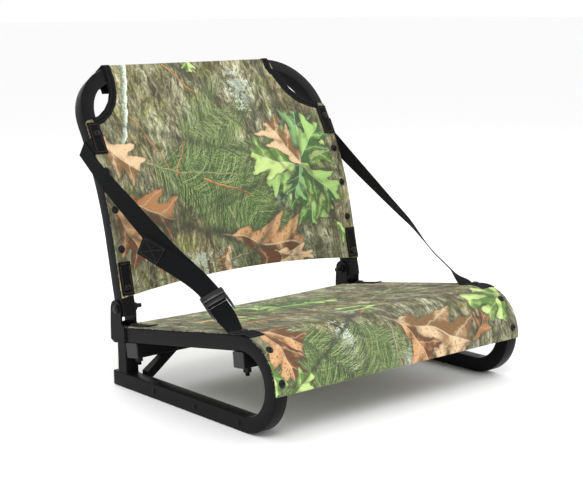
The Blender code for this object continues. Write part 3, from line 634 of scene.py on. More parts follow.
class Print:
    """The camouflage print on a flat cloth map in metres, built up in layers.

    Each element has x from the cloth's middle, y up the back from the hinge or forward from the seat's rear
    edge, a turn in degrees, and a size.
    """

    def __init__(self, graph, flat, groups, seed):
        self.g = graph
        self.flat = flat
        self.groups = groups
        self.random = random.Random(seed)
        self.colour = None

    def bark(self, turn=0.0):
        """Ridged plates of bark with dark cracks between them, and mossy and bleached stretches."""
        g = self.g
        drift = g.node("ShaderNodeTexNoise", {"Vector": self.flat, "Scale": 11.0, "Detail": 4.0})
        warp = g.vector("SUBTRACT", drift.outputs["Color"], (0.5, 0.5, 0.5))
        warp = g.node("ShaderNodeVectorMath", {0: warp, "Scale": 0.040}, operation="SCALE").outputs[0]
        vector = g.vector("ADD", self.flat, warp)
        ridges = g.noise(g.stretched(vector, (150, 46, 1), turn), 1.0, 6, 0.68, 0.8)
        fibres = g.noise(g.stretched(vector, (700, 190, 1), turn), 1.0, 4, 0.65)
        broad = g.noise(g.stretched(vector, (34, 11, 1), turn), 1.0, 3, 0.55)
        tone = g.plus(g.times(ridges, 0.48), g.times(fibres, 0.20))
        tone = g.plus(tone, g.times(broad, 0.34))
        stops = (
            (0.405, (0.030, 0.026, 0.012)), (0.460, (0.092, 0.084, 0.042)), (0.512, (0.205, 0.198, 0.108)),
            (0.560, (0.370, 0.368, 0.232)), (0.620, (0.680, 0.680, 0.500)),
        )  # fmt: skip
        colour = g.ramp(tone, stops)
        moss = g.band(g.noise(self.flat, 19, 4, 0.65), 0.50, 0.62)
        colour = g.mix(g.times(moss, 0.65), colour, (0.62, 0.74, 0.24), "MULTIPLY")
        warm = g.band(g.noise(g.stretched(self.flat, (9, 5, 1), 0, (3, 1, 0)), 1.0, 3), 0.48, 0.62)
        colour = g.mix(g.times(warm, 0.5), colour, (1.0, 0.80, 0.58), "MULTIPLY")
        plates = g.stretched(vector, (120, 30, 1), turn, (1, 4, 0))
        cells = g.node("ShaderNodeTexVoronoi", {"Vector": plates, "Scale": 1.0}, feature="DISTANCE_TO_EDGE")
        crack = g.band(g.plus(cells.outputs["Distance"], g.times(ridges, 0.25)), 0.19, 0.10)
        self.colour = g.mix(g.times(crack, 0.75), colour, (0.026, 0.021, 0.011))

    def lichen(self, x, y, wide, tall, strength=0.9):
        """Pale crusty patches inside an ellipse."""
        g = self.g
        far = g.vector("LENGTH", self.local(x, y, 0.0, (wide, tall)))
        flat = self.chained()
        spots = g.noise(flat, 95, 4, 0.65)
        gate = g.band(g.minus(spots, g.times(far, 0.30)), 0.36, 0.42)
        detail = g.noise(flat, 420, 3)
        crust = g.mix(g.band(detail, 0.35, 0.65), (0.33, 0.42, 0.27), (0.82, 0.88, 0.78))
        self.colour = g.mix(g.times(gate, strength), self.colour, crust)

    def chained(self):
        """The flat map, tied to the layers so far, so that Cycles works out one element at a time."""
        if self.colour is None:
            return self.flat
        return self.g.vector("MULTIPLY_ADD", self.colour, (NUDGE, NUDGE, NUDGE), self.flat)

    def local(self, x, y, turn, size):
        inputs = {"Vector": self.chained(), "Location": (x, y, 0)}
        inputs.update({"Rotation": (0, 0, turn), "Scale": (*size, 1)})
        return self.g.node("ShaderNodeMapping", inputs, vector_type="TEXTURE").outputs[0]

    def element(self, kind, x, y, turn_deg, size, inputs):
        """A group's outputs: one leaf, spray or twig, placed, turned and scaled, with a seed of its own."""
        seed = self.random.uniform(0, 50)
        local = self.local(x, y, math.radians(turn_deg), (size, size))
        made = self.g.node("ShaderNodeGroup", {"Vector": local, "Seed": seed}, node_tree=self.groups[kind])
        for key, value in inputs.items():
            self.g.put(value, made.inputs[key])
        return made.outputs

    def lay(self, made):
        self.colour = self.g.mix(made["Mask"], self.colour, made["Color"])

    def leaf(self, x, y, turn_deg, size, colours, lobes=3.6, speckle=0.0):
        inputs = {"Dark": colours[0], "Light": colours[1], "Lobes": lobes, "Speckle": speckle}
        made = self.element("leaf", x, y, turn_deg, size, inputs)
        self.colour = self.g.mix(self.g.times(made["Shade"], 0.55), self.colour, (0.030, 0.032, 0.018))
        self.lay(made)

    def needles(self, x, y, turn_deg, size, count, reach, bend):
        inputs = {"Count": count, "Reach": reach, "Bend": bend}
        self.lay(self.element("needles", x, y, turn_deg, size, inputs))

    def twig(self, x, y, turn_deg, size, width, dark, light):
        inputs = {"Width": width / size, "Dark": dark, "Light": light}
        self.lay(self.element("twig", x, y, turn_deg, size, inputs))

    def dusk(self, x, y, wide, tall, strength):
        """A soft dark hollow behind leaves."""
        g = self.g
        far = g.vector("LENGTH", self.local(x, y, 0.0, (wide, tall)))
        ragged = g.plus(far, g.scaled(g.noise(self.chained(), 40, 3), 0.8, -0.4))
        self.colour = g.mix(g.times(g.band(ragged, 1.0, 0.5), strength), self.colour, (0.05, 0.055, 0.03))


RUSTY = ((0.20, 0.07, 0.02), (0.62, 0.30, 0.12))
GREY_TWIG = ((0.10, 0.085, 0.05), (0.50, 0.46, 0.30))
BIRCH = ((0.14, 0.20, 0.12), (0.80, 0.86, 0.74))
GREEN_TWIG = ((0.10, 0.11, 0.04), (0.36, 0.38, 0.17))


def back_print(art):
    """Needles at the middle, brown leaves at the lower left and a spray of green leaves at the right."""
    art.bark()
    art.lichen(0.080, 0.370, 0.045, 0.085)
    art.lichen(0.105, 0.160, 0.030, 0.060, 0.7)
    art.lichen(-0.100, 0.060, 0.060, 0.030, 0.6)
    art.twig(-0.155, 0.445, -107, 0.215, 0.0065, *BIRCH)
    art.twig(-0.075, 0.430, -50, 0.10, 0.0020, *RUSTY)
    art.dusk(-0.05, 0.215, 0.12, 0.07, 0.65)
    for x, y, turn, size, bend in (
        (-0.165, 0.235, -20, 0.190, 0.9), (-0.120, 0.250, -28, 0.200, 0.6),
        (-0.100, 0.225, 20, 0.150, -0.5), (-0.110, 0.205, -36, 0.180, 0.8),
        (-0.060, 0.215, -22, 0.170, 0.7), (-0.040, 0.200, -46, 0.160, 0.6),
        (-0.080, 0.285, 28, 0.110, 0.6), (0.020, 0.200, -62, 0.120, 0.4),
    ):  # fmt: skip
        art.needles(x, y, turn, size, 50, 0.50, bend)
    for x, y, turn, size, width, tones in (
        (-0.268, 0.268, -14, 0.300, 0.0030, GREEN_TWIG), (-0.060, 0.203, -20, 0.110, 0.0026, RUSTY),
        (-0.118, 0.212, 60, 0.075, 0.0015, RUSTY), (-0.180, 0.330, -62, 0.120, 0.0016, RUSTY),
        (-0.020, 0.150, -68, 0.120, 0.0032, GREEN_TWIG), (-0.060, 0.045, 12, 0.200, 0.0022, GREY_TWIG),
    ):  # fmt: skip
        art.twig(x, y, turn, size, width, *tones)
    art.dusk(0.175, 0.190, 0.085, 0.115, 0.65)
    for x, y, turn, size, shade, lobes, speckle in (
        (-0.272, 0.292, -40, 0.125, 1, 3.2, 0.2), (-0.245, 0.180, -20, 0.140, 2, 3.4, 0.3),
        (-0.262, 0.165, -62, 0.125, 0, 3.4, 0.3), (-0.205, 0.095, -38, 0.080, 1, 3.2, 0.3),
        (-0.012, 0.092, -13, 0.190, 0, 3.7, 0.5), (-0.030, 0.078, -118, 0.060, 1, 3.2, 0.3),
        (0.085, 0.052, -20, 0.090, 1, 3.2, 0.3),
    ):  # fmt: skip
        art.leaf(x, y, turn, size, LEAF_BROWNS[shade], lobes, speckle)
    cluster = (0.168, 0.212)
    for turn, size, shade in (
        (77, 0.130, 1), (227, 0.110, 1), (13, 0.100, 2), (220, 0.090, 2), (197, 0.112, 0), (165, 0.135, 2),
        (-85, 0.142, 0), (49, 0.125, 0), (-62, 0.132, 2), (-45, 0.130, 0), (-110, 0.085, 1),
    ):  # fmt: skip
        art.leaf(*cluster, turn, size, LEAF_GREENS[shade])
    art.leaf(*cluster, 122, 0.125, LEAF_BROWNS[1], 3.6, 0.2)
    art.leaf(0.232, 0.090, -50, 0.060, LEAF_GREENS[2], 3.0)
    art.leaf(-0.016, 0.448, -95, 0.045, LEAF_GREENS[2], 2.6)


def seat_print(art):
    """Brown leaves and needles towards the front, and green leaves towards the rear."""
    art.bark()
    art.lichen(-0.110, 0.410, 0.045, 0.070)
    art.lichen(0.010, 0.455, 0.020, 0.040, 0.7)
    art.dusk(-0.175, 0.420, 0.080, 0.065, 0.60)
    for x, y, turn, size, bend in (
        (-0.235, 0.350, 62, 0.160, 0.7), (-0.215, 0.365, 95, 0.140, -0.5), (-0.205, 0.380, 40, 0.140, 0.6),
        (-0.085, 0.365, 75, 0.095, 0.6), (-0.070, 0.380, 50, 0.090, -0.4),
        (-0.130, 0.110, 12, 0.160, 0.7), (-0.080, 0.095, -12, 0.140, 0.5),
    ):  # fmt: skip
        art.needles(x, y, turn, size, 46, 0.50, bend)
    art.twig(-0.190, 0.235, 18, 0.150, 0.0060, *RUSTY)
    art.twig(-0.055, 0.365, -30, 0.22, 0.0020, *RUSTY)
    art.twig(0.080, 0.250, -32, 0.24, 0.0045, *GREEN_TWIG)
    art.twig(-0.020, 0.440, -80, 0.080, 0.0016, *GREY_TWIG)
    art.dusk(-0.02, 0.10, 0.09, 0.05, 0.4)
    for x, y, turn, size, shade in (
        (-0.060, 0.040, 60, 0.100, 2), (-0.020, 0.060, 100, 0.110, 0), (0.010, 0.120, 40, 0.100, 2),
        (-0.100, 0.070, 150, 0.085, 1), (-0.030, 0.130, 10, 0.090, 0), (-0.185, 0.170, 30, 0.075, 0),
    ):  # fmt: skip
        art.leaf(x, y, turn, size, LEAF_GREENS[shade], 3.2)
    for x, y, turn, size, colours, lobes, speckle in (
        (-0.210, 0.130, 15, 0.110, LEAF_BROWNS[1], 3.2, 0.4), (-0.268, 0.330, 42, 0.120, LEAF_BROWNS[0], 3.2, 0.7),
        (-0.245, 0.355, 85, 0.110, LEAF_BROWNS[0], 3.2, 0.8), (-0.279, 0.405, 80, 0.070, LEAF_GREENS[2], 2.4, 0.0),
        (-0.250, 0.472, -32, 0.070, LEAF_GREENS[2], 2.6, 0.0), (0.012, 0.392, 24, 0.190, LEAF_BROWNS[1], 3.4, 0.5),
        (0.015, 0.398, 62, 0.110, LEAF_BROWNS[0], 2.8, 0.6), (0.160, 0.450, -40, 0.070, LEAF_BROWNS[2], 2.8, 0.4),
    ):  # fmt: skip
        art.leaf(x, y, turn, size, colours, lobes, speckle)
    for turn, size in ((150, 0.075), (185, 0.095), (215, 0.060), (262, 0.070), (120, 0.060)):
        art.leaf(0.262, 0.385, turn, size, LEAF_GREENS[2], 1.4)
    for x, y, turn in ((-0.046, 0.320, 10), (0.020, 0.300, 200), (-0.020, 0.335, -30)):
        art.leaf(x, y, turn, 0.060, LEAF_GREENS[2], 1.4)


def printed_cloth(name, paint, seed, groups):
    """Woven cloth with the print: plain weave in the bump and as a faint painted shade in the colour, slightly
    faded and matt.
    """
    made, graph, shader = new_material(name)
    flat = graph.node("ShaderNodeUVMap", uv_map="flat").outputs[0]
    art = Print(graph, flat, groups, seed)
    paint(art)
    u, v, _ = graph.parts(flat)
    pitch = 2 * math.pi / 0.0011
    warp = graph.math("SINE", graph.times(u, pitch))
    weft = graph.math("SINE", graph.times(v, pitch))
    weave = graph.times(warp, weft)
    speckle = graph.noise(flat, 1500, 2)
    # the weave makes the colour a little lighter and darker with the bump: painted shade of the threads; the
    # speckle is the fibres' own tone
    tone = graph.scaled(weave, 0.035, graph.scaled(speckle, 0.16, 0.92))
    colour = graph.mix(1.0, art.colour, graph.join(tone, tone, tone), "MULTIPLY")
    colour = graph.mix(0.07, colour, (0.42, 0.42, 0.33))
    graph.dress(shader, {"Base Color": colour, "Roughness": 0.82})
    graph.dress(shader, {"Specular IOR Level": 0.2, "Sheen Weight": 0.05})
    bump(graph, shader, graph.scaled(speckle, 0.5, weave), 0.35, 0.0002)
    return made


def all_materials():
    """Every material, by what it is used for."""
    groups = {"leaf": oak_leaf_group(), "needles": needle_group(), "twig": twig_group()}
    return {
        "powder": powder_coat(),
        "plug": moulded_plastic("plug_plastic", (0.014, 0.014, 0.0155), 0.5),
        "buckle": moulded_plastic("buckle_plastic", (0.008, 0.008, 0.0092), 0.20),
        "oxide": black_oxide(),
        "webbing": webbing("webbing"),
        "tape": webbing("binding_tape"),
        "tan_thread": thread("tan_thread", (0.15, 0.070, 0.028)),
        "black_thread": thread("black_thread", (0.03, 0.03, 0.032)),
        "white_thread": thread("white_thread", (0.80, 0.80, 0.78)),
        "back_cloth": printed_cloth("back_cloth", back_print, 11, groups),
        "seat_cloth": printed_cloth("seat_cloth", seat_print, 23, groups),
    }


# Tubes


def side_frame(side, name, paint):
    """The lower rail, the front bend and the upper rail in one tube."""
    x = side * RAIL_X
    outline = rounded_square(TUBE, TUBE, TUBE_CORNER)
    low_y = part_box(f"{name}_side_frame")[1].y
    top_end = rail_point(x, HINGE.y + 0.0146, 0)
    rings = [[Vector((x + a, y, TUBE / 2 - b)) for a, b in outline] for y in (low_y, BEND_Y)]
    for k in range(1, 61):
        angle = math.pi - (math.pi + SLOPE) * k / 60
        rings.append([bend_point(x + a, angle, BEND_RADIUS + b) for a, b in outline])
    rings.append([top_end + Vector((a, 0, 0)) + RAIL_UP * b for a, b in outline])
    tube = swept(f"{name}_side_tube", rings, paint)
    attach(tube, "root")
    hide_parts(f"{name}_side_frame")


def backrest_frame(paint):
    """One tube up the left side, over the top and down the right, leaning back more towards the top."""
    outline = rounded_square(TUBE, TUBE, TUBE_CORNER)
    shoulder = BACK_HEIGHT - TUBE / 2 - CORNER_RADIUS
    run = [(-RAIL_X, -BACK_FOOT + (shoulder + BACK_FOOT) * k / 40, -1, 0) for k in range(41)]
    for k in range(1, 17):
        angle = math.pi / 2 * k / 16
        across = -RAIL_X + CORNER_RADIUS * (1 - math.cos(angle))
        run.append((across, shoulder + CORNER_RADIUS * math.sin(angle), -math.cos(angle), math.sin(angle)))
    run += [(-x, s, -nx, ns) for x, s, nx, ns in reversed(run)]
    rings = [[back_point(x + nx * a, s + ns * a, b) for a, b in outline] for x, s, nx, ns in run]
    tube = swept("backrest_tube", rings, paint)
    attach(tube, "backrest")
    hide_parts("backrest_frame")


BEAD_CLEAR = 0.0006  # from a bead's middle to the faces it joins


def weld_bead(name, points, up, paint, body, radius=0.0017):
    """A rippled bead of weld along a line of points."""
    points = [Vector(p) for p in points]
    path = []
    for one, two in zip(points, points[1:]):
        steps = max(2, round((two - one).length / 0.0009))
        path += [one.lerp(two, k / steps) for k in range(steps)]
    path.append(points[-1])
    rings = []
    for k, point in enumerate(path):
        ahead = (path[min(k + 1, len(path) - 1)] - path[max(k - 1, 0)]).normalized()
        side = ahead.cross(up).normalized()
        over = side.cross(ahead)
        size = radius * (1 + 0.16 * math.sin(k * 2.1)) * (0.55 if k in (0, len(path) - 1) else 1)
        angles = [math.pi * i / 4 for i in range(8)]
        rings.append([point + (side * math.cos(t) + over * math.sin(t)) * size for t in angles])
    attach(swept(name, rings, paint), body)


def weld_beads(look):
    """Where each bracket's outer plate meets its rail, and each leg stands on the lower rail."""
    for side, name in SIDES:
        x, y = side * (HALF + BEAD_CLEAR), HINGE.y - COLLAR_FRONT - BEAD_CLEAR
        ends = [rail_point(x, y, height) for height in (0.001 - TUBE / 2, TUBE / 2 - 0.002)]
        weld_bead(f"{name}_bracket_weld", ends, Vector((side, 0, 0)), look["powder"], "root", 0.0024)
        low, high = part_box(f"{name}_rear_leg")
        ends = [(x, low.y - BEAD_CLEAR, TUBE + BEAD_CLEAR) for x in (low.x + 0.001, high.x - 0.001)]
        weld_bead(f"{name}_leg_weld", ends, Vector((0, -1, 1)).normalized(), look["powder"], "root")


# Slings

CLOTH_COLUMNS = 131
BACK_LOW = 0.018
BACK_BOW = 0.018
BACK_SAG = 0.006
BACK_RIPPLE = 0.0007
BACK_SCALLOP = 0.0011  # how far the cloth is drawn in beside each screw
FLAP_END = BACK_HEIGHT + 0.067
CUT_START = 0.3255  # the height up the back where the cut-outs begin
CUT_STEP = 0.0015
# The cloth's edge round each top corner, from the bar down to the upright: (from the middle, up the back)
RIGHT_CUT = (
    (0.176, 0.430), (0.182, 0.406), (0.192, 0.382), (0.204, 0.361),
    (0.221, 0.344), (0.241, 0.334), (0.262, 0.3275),
)  # fmt: skip
LEFT_CUT = (
    (0.199, 0.430), (0.200, 0.398), (0.204, 0.377), (0.212, 0.360),
    (0.226, 0.344), (0.243, 0.332), (0.262, 0.3265),
)  # fmt: skip
CUTS = ((-1, "left", LEFT_CUT), (1, "right", RIGHT_CUT))


def cut_half(points, s):
    """The half width of the back cloth at s, beside one cut-out."""
    levels = [p[1] for p in reversed(points)]
    halves = [p[0] for p in reversed(points)]
    if s < levels[0] - CUT_STEP:
        return HALF
    if s < levels[0]:
        return HALF - (HALF - halves[0]) * (s - levels[0] + CUT_STEP) / CUT_STEP
    return float(np.interp(s, levels, halves))


def smooth(value, low, high):
    t = min(max((value - low) / (high - low), 0), 1)
    return t * t * (3 - 2 * t)


def back_height(x, s):
    """The back cloth's outer face over the tubes' front: it sags between them, less beside its screws."""
    base = GAP + CLOTH
    inner = HALF - TUBE
    share = max(0.0, 1 - (x / inner) ** 2)
    sag = BACK_SAG * share**0.8 * (1 - smooth(s, 0.30, 0.415)) * (0.7 + 0.3 * smooth(s, 0.0, 0.1))
    near = math.exp(-(max(inner - abs(x), 0) / 0.045))
    screw = (s - BACK_SCREW_FIRST) / BACK_SCREW_PITCH
    scallop = BACK_SCALLOP * near * share**0.3 * math.cos(2 * math.pi * screw)
    ripple = BACK_RIPPLE * share * math.sin(41 * x + 9 * s) * math.sin(23 * s + 5 * x)
    over_bar = 1 - smooth(s, 0.385, 0.41)
    return base - sag + (ripple - scallop) * over_bar * share


def lower_hem(x):
    """The height up the back of the cloth's bowed lower edge."""
    return BACK_LOW + BACK_BOW * (1 - (x / HALF) ** 2)


def back_cloth_rows():
    """Heights up the back: close together at the start of the cut-outs and over the top bar."""
    rows = [CUT_START * k / 71 for k in range(72)]
    rows += [CUT_START + CUT_STEP * k for k in range(1, 14)]
    rows += [rows[-1] + (BACK_TOP - rows[-1]) * k / 20 for k in range(1, 21)]
    return rows + [BACK_TOP + (FLAP_END - BACK_TOP) * k / 44 for k in range(1, 45)]


def back_sling(material):
    """The back cloth: up between the uprights, round its cut-outs, over the top bar and down behind it."""
    columns = np.linspace(-1, 1, CLOTH_COLUMNS)
    grid, uv = [], []
    for row in back_cloth_rows():
        line, flat = [], []
        for share in columns:
            points = RIGHT_CUT if share > 0 else LEFT_CUT
            x = share * cut_half(points, row)
            run = row
            if row <= CUT_START:
                low = lower_hem(x)
                run = low + (CUT_START - low) * row / CUT_START
            line.append(cloth_face(x, run, 0))
            flat.append((x, run))
        grid.append(line)
        uv.append(flat)
    cloth = cloth_sheet("back_sling_cloth", grid, uv, material)
    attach(cloth, "backrest")
    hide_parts("back_sling")


SEAT_SAG = 0.0022
SEAT_RIPPLE = 0.0006
SEAT_SCALLOP = 0.0010
SEAT_SCREW_PITCH = 0.0565


def seat_height(x, run):
    """The seat cloth's outer face over the rails' top: a slight sag, and drawn in at its screws."""
    base = GAP + CLOTH
    inner = HALF - TUBE
    share = max(0.0, 1 - (x / inner) ** 2)
    flat = 1 - smooth(run, SEAT_STRAIGHT - 0.03, SEAT_STRAIGHT + 0.04)
    sag = SEAT_SAG * share * (0.35 + 0.65 * flat)
    near = math.exp(-(max(inner - abs(x), 0) / 0.05))
    screw = (run - seat_run(RAIL_SCREW_Y[0])) / SEAT_SCREW_PITCH
    scallop = SEAT_SCALLOP * near * share**0.3 * math.cos(2 * math.pi * screw) * flat
    ripple = SEAT_RIPPLE * share * math.sin(37 * x + 11 * run) * math.sin(19 * run + 4 * x)
    return base - sag + ripple - scallop


def seat_sling(material):
    """The seat cloth: notched at its rear corners, over the rails and down round their front bends."""
    inner = HALF - TUBE - 0.0060
    runs = [SEAT_NOTCH * k / 6 for k in range(6)] + [SEAT_NOTCH - 0.0004, SEAT_NOTCH + 0.0004]
    runs += [SEAT_NOTCH + (SEAT_LONG - SEAT_NOTCH) * k / 100 for k in range(1, 101)]
    columns = np.linspace(-1, 1, CLOTH_COLUMNS)
    grid, uv = [], []
    for run in runs:
        half = inner if run < SEAT_NOTCH else HALF
        grid.append([seat_point(half * t, run, seat_height(half * t, run)) for t in columns])
        uv.append([(half * t, run) for t in columns])
    cloth = cloth_sheet("seat_sling_cloth", grid, uv, material)
    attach(cloth, "root")
    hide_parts("seat_sling")


# Stitches, tapes and edges

HEM_HALF = 0.2725
HEM_THICK = 0.0008
STITCH_INSET = 0.0035  # from the edge of the webbing
STITCH_LONG = 0.0026
STITCH_GAP = 0.0010
STITCH_WIDE = 0.00045
STITCH_HIGH = 0.00035
THREAD_R = 0.00017


def stitch_row(name, path, material, body):
    """Stitches laid along a path of (point, normal), each a small plump dash."""
    points = [Vector(p) for p, _ in path]
    normals = [Vector(n) for _, n in path]
    lengths = [0.0]
    for one, two in zip(points, points[1:]):
        lengths.append(lengths[-1] + (two - one).length)

    def at(distance):
        k = min(max(int(np.searchsorted(lengths, distance)) - 1, 0), len(points) - 2)
        t = (distance - lengths[k]) / max(lengths[k + 1] - lengths[k], 1e-9)
        return points[k].lerp(points[k + 1], t), normals[k]

    verts, faces = [], []
    start = STITCH_GAP / 2
    while start + STITCH_LONG < lengths[-1]:
        one, normal = at(start)
        two, _ = at(start + STITCH_LONG)
        ahead = (two - one).normalized()
        side = ahead.cross(normal).normalized()
        base = len(verts)
        verts.append(one - normal * STITCH_HIGH)
        for share, size in ((0.18, 0.85), (0.82, 0.85)):
            middle = one.lerp(two, share)
            for a, b in ((1, -0.6), (0.8, 0.7), (-0.8, 0.7), (-1, -0.6)):
                verts.append(middle + side * STITCH_WIDE * a * size + normal * STITCH_HIGH * (b * size + 0.15))
        verts.append(two - normal * STITCH_HIGH)
        for i in range(4):
            j = (i + 1) % 4
            faces.append((base, base + 1 + j, base + 1 + i))
            faces.append((base + 1 + i, base + 1 + j, base + 5 + j, base + 5 + i))
            faces.append((base + 9, base + 5 + i, base + 5 + j))
        start += STITCH_LONG + STITCH_GAP
    row = new_object(name, verts, faces, material, None, 60)
    face_outwards(row)
    if body:
        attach(row, body)
    return row


def fringe(name, path, material, body, seed, length):
    """Frayed white threads standing out along a cloth edge: path gives (point, outward, along)."""
    draw = random.Random(seed)
    verts, faces = [], []
    for point, outward, along in path:
        if draw.random() < 0.25:
            continue
        outward = Vector(outward)
        reach = length * draw.uniform(0.25, 1.0) ** 2
        lean = draw.uniform(-0.8, 0.8)
        lift = outward.cross(along) * draw.uniform(-0.2, 0.35)
        tip = (outward + along * lean + lift) * reach
        bend = along * draw.uniform(-0.4, 0.4) * reach
        base = len(verts)
        across = tip.normalized().cross(along).normalized()
        other = tip.normalized().cross(across)
        for k, middle in enumerate((point - outward * 0.0006, point + tip * 0.5 + bend, point + tip)):
            size = THREAD_R * (1, 0.9, 0.45)[k]
            for turn in (0, 2.094, 4.189):
                verts.append(middle + across * math.cos(turn) * size + other * math.sin(turn) * size)
        for k in range(2):
            for i in range(3):
                j = (i + 1) % 3
                a, b = base + 3 * k, base + 3 * k + 3
                faces.append((a + i, a + j, b + j, b + i))
        faces.append((base + 2, base + 1, base))
        faces.append((base + 6, base + 7, base + 8))
    threads = new_object(name, verts, faces, material, None, 60)
    face_outwards(threads)
    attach(threads, body)


def binding(side, name, points, material):
    """Folded tape sewn over the cloth's edge, from the upright round the cut-out and over the top bar."""
    cut = sorted(points, key=lambda p: p[1])[:-1]
    levels = [p[1] for p in cut]
    dense = [cut[0][1] + (cut[-1][1] - cut[0][1]) * (k / 40) ** 1.6 for k in range(41)]
    edge = [(float(np.interp(s, levels, [p[0] for p in cut])), s) for s in dense]
    edge = [p for p in edge if p[0] < 0.259]
    top_x = points[0][0]
    past = edge[-1][1]
    edge += [(top_x, past + (FLAP_END + 0.001 - past) * k / 44) for k in range(1, 45)]
    wide, thick = 0.0135, 0.0011
    front_half = ((wide, thick), (wide * 0.6, thick), (0.0, thick), (-thick * 0.8, thick * 0.7))
    fold = ((-thick * 1.2, -CLOTH / 2), (-thick * 0.8, -CLOTH - thick * 0.7), (0.0, -CLOTH - thick))
    rear_half = ((wide, -CLOTH - thick), (wide, -CLOTH - 0.0001), (0.0002, -CLOTH - 0.0001))
    outline = (*front_half, *fold, *rear_half, (0.0002, 0.0001), (wide, 0.0001))
    rings, uvs, run = [], [], 0.0
    front, inner = [], []
    for k, (x, s) in enumerate(edge):
        before, after = edge[max(k - 1, 0)], edge[min(k + 1, len(edge) - 1)]
        along = Vector((after[0] - before[0], after[1] - before[1])).normalized()
        inward = Vector((-abs(along.y), -abs(along.x) if along.x < 0 else 0.0)).normalized()
        if k:
            run += math.dist(edge[k - 1], (x, s))
        ring = []
        for d, h in outline:
            px, ps = x + inward.x * d, s + inward.y * d
            ring.append(cloth_face(side * px, ps, h))
        rings.append(ring)
        uvs += [(d if h > -CLOTH / 2 else -d, run) for d, h in outline]
        for row, d in ((front, 0.0035), (inner, wide - 0.0028)):
            row.append(cloth_point(side * (x + inward.x * d), s + inward.y * d, thick))
    tape = swept(f"{name}_cutout_tape", rings, material, uvs, 40)
    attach(tape, "backrest")
    return front, inner


def cloth_face(x, s, h):
    """Off the back cloth's outer face by h, also where it wraps over the top bar."""
    if s < BACK_TOP:
        return back_point(x, s, TUBE / 2 + back_height(x, s) + h)
    return over_back(x, s, GAP + CLOTH + h)


def cloth_point(x, s, h):
    """(point, outward normal) on the back cloth."""
    here = cloth_face(x, s, h)
    return here, (cloth_face(x, s, h + 0.001) - here).normalized()


def hem_edge(name, grid, flat, material, body):
    """A folded hem: a thin extra layer of the same cloth, given as a grid, with its map."""
    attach(cloth_sheet(name, grid, flat, material, HEM_THICK), body)


def back_details(look):
    """Hem, tape, stitching and frayed edges of the back sling."""
    for side, name, points in CUTS:
        front, inner = binding(side, name, points, look["tape"])
        stitch_row(f"{name}_tape_inner_stitches", inner[2:], look["black_thread"], "backrest")
        stitch_row(f"{name}_tape_outer_stitches", front[2:], look["black_thread"], "backrest")
    columns = np.linspace(-HEM_HALF, HEM_HALF, 121)
    rows = (-0.0004, 0.004, 0.010, 0.0125)
    grid = [[cloth_face(x, lower_hem(x) + d, 0.0009 if d > 0 else 0.0002) for x in columns] for d in rows]
    flat = [[(x, lower_hem(x) + 0.02 - d) for x in columns] for d in rows]
    hem_edge("back_lower_hem", grid, flat, look["back_cloth"], "backrest")
    line = [cloth_point(x, lower_hem(x) + 0.0098, 0.0010) for x in columns]
    stitch_row("back_hem_stitches", line, look["black_thread"], "backrest")
    for side, name in SIDES:
        path = []
        for k in range(230):
            s = 0.022 + 0.30 * k / 229
            at = back_point(side * HALF, s, TUBE / 2 + GAP + CLOTH * 0.6)
            path.append((at, (side, 0, 0), back_along(s)))
        fringe(f"{name}_back_frayed_edge", path, look["white_thread"], "backrest", 5 + side, 0.0022)


def seat_details(look):
    """Hem, stitching and frayed edges of the seat sling."""
    columns = np.linspace(-HEM_HALF, HEM_HALF, 121)
    rows = (0.0004, -0.004, -0.011, -0.0135)

    def place(x, d, h):
        return seat_point(x, SEAT_LONG + d, seat_height(x, SEAT_LONG + d) + h)

    grid = [[place(x, d, 0.0009 if d < 0 else 0.0002) for x in columns] for d in rows]
    flat = [[(x, SEAT_LONG - 0.02 - d) for x in columns] for d in rows]
    hem_edge("seat_front_hem", grid, flat, look["seat_cloth"], "root")
    line = [(place(x, -0.0118, 0.0010), seat_frame(x, SEAT_LONG - 0.0118)[1]) for x in columns]
    stitch_row("seat_hem_stitches", line, look["black_thread"], "root")
    inner = np.linspace(-0.240, 0.240, 101)
    line = [(seat_point(x, 0.011, seat_height(x, 0.011) + 0.0002), RAIL_UP) for x in inner]
    stitch_row("seat_rear_stitches", line, look["black_thread"], "root")
    for side, name in SIDES:
        path = []
        for k in range(330):
            run = SEAT_NOTCH + 0.002 + (SEAT_LONG - SEAT_NOTCH - 0.006) * k / 329
            point, normal = seat_frame(side * HALF, run)
            along = (seat_frame(0, run + 0.002)[0] - seat_frame(0, run)[0]).normalized()
            path.append((point + normal * (GAP + CLOTH * 0.5), (side, 0, 0), along))
        fringe(f"{name}_seat_frayed_edge", path, look["white_thread"], "root", 15 + side, 0.0032)


# Webbing

PATCH_WIDE = TUBE - 0.0008
PATCH_LIFT = TUBE / 2 + 2 * GAP + CLOTH + WEB_THICK / 2  # off a tube's middle, over the cloth
ACROSS = Vector((1, 0, 0))


def patch_stitches(name, stations, wide, material, body):
    """A rectangle of stitches just inside a patch's edge."""
    half = wide / 2 - STITCH_INSET

    def on_patch(station, a):
        centre, across, normal = station
        return centre + across * a + normal * WEB_THICK / 2, normal

    rows = [[on_patch(station, a) for station in stations[1:-1]] for a in (-half, half)]
    for station in (stations[1], stations[-2]):
        rows.append([on_patch(station, half * t) for t in (-1, -0.5, 0, 0.5, 1)])
    pieces = [stitch_row(f"{name}_{k}", row, material, body) for k, row in enumerate(rows)]
    joined(name, pieces, body)


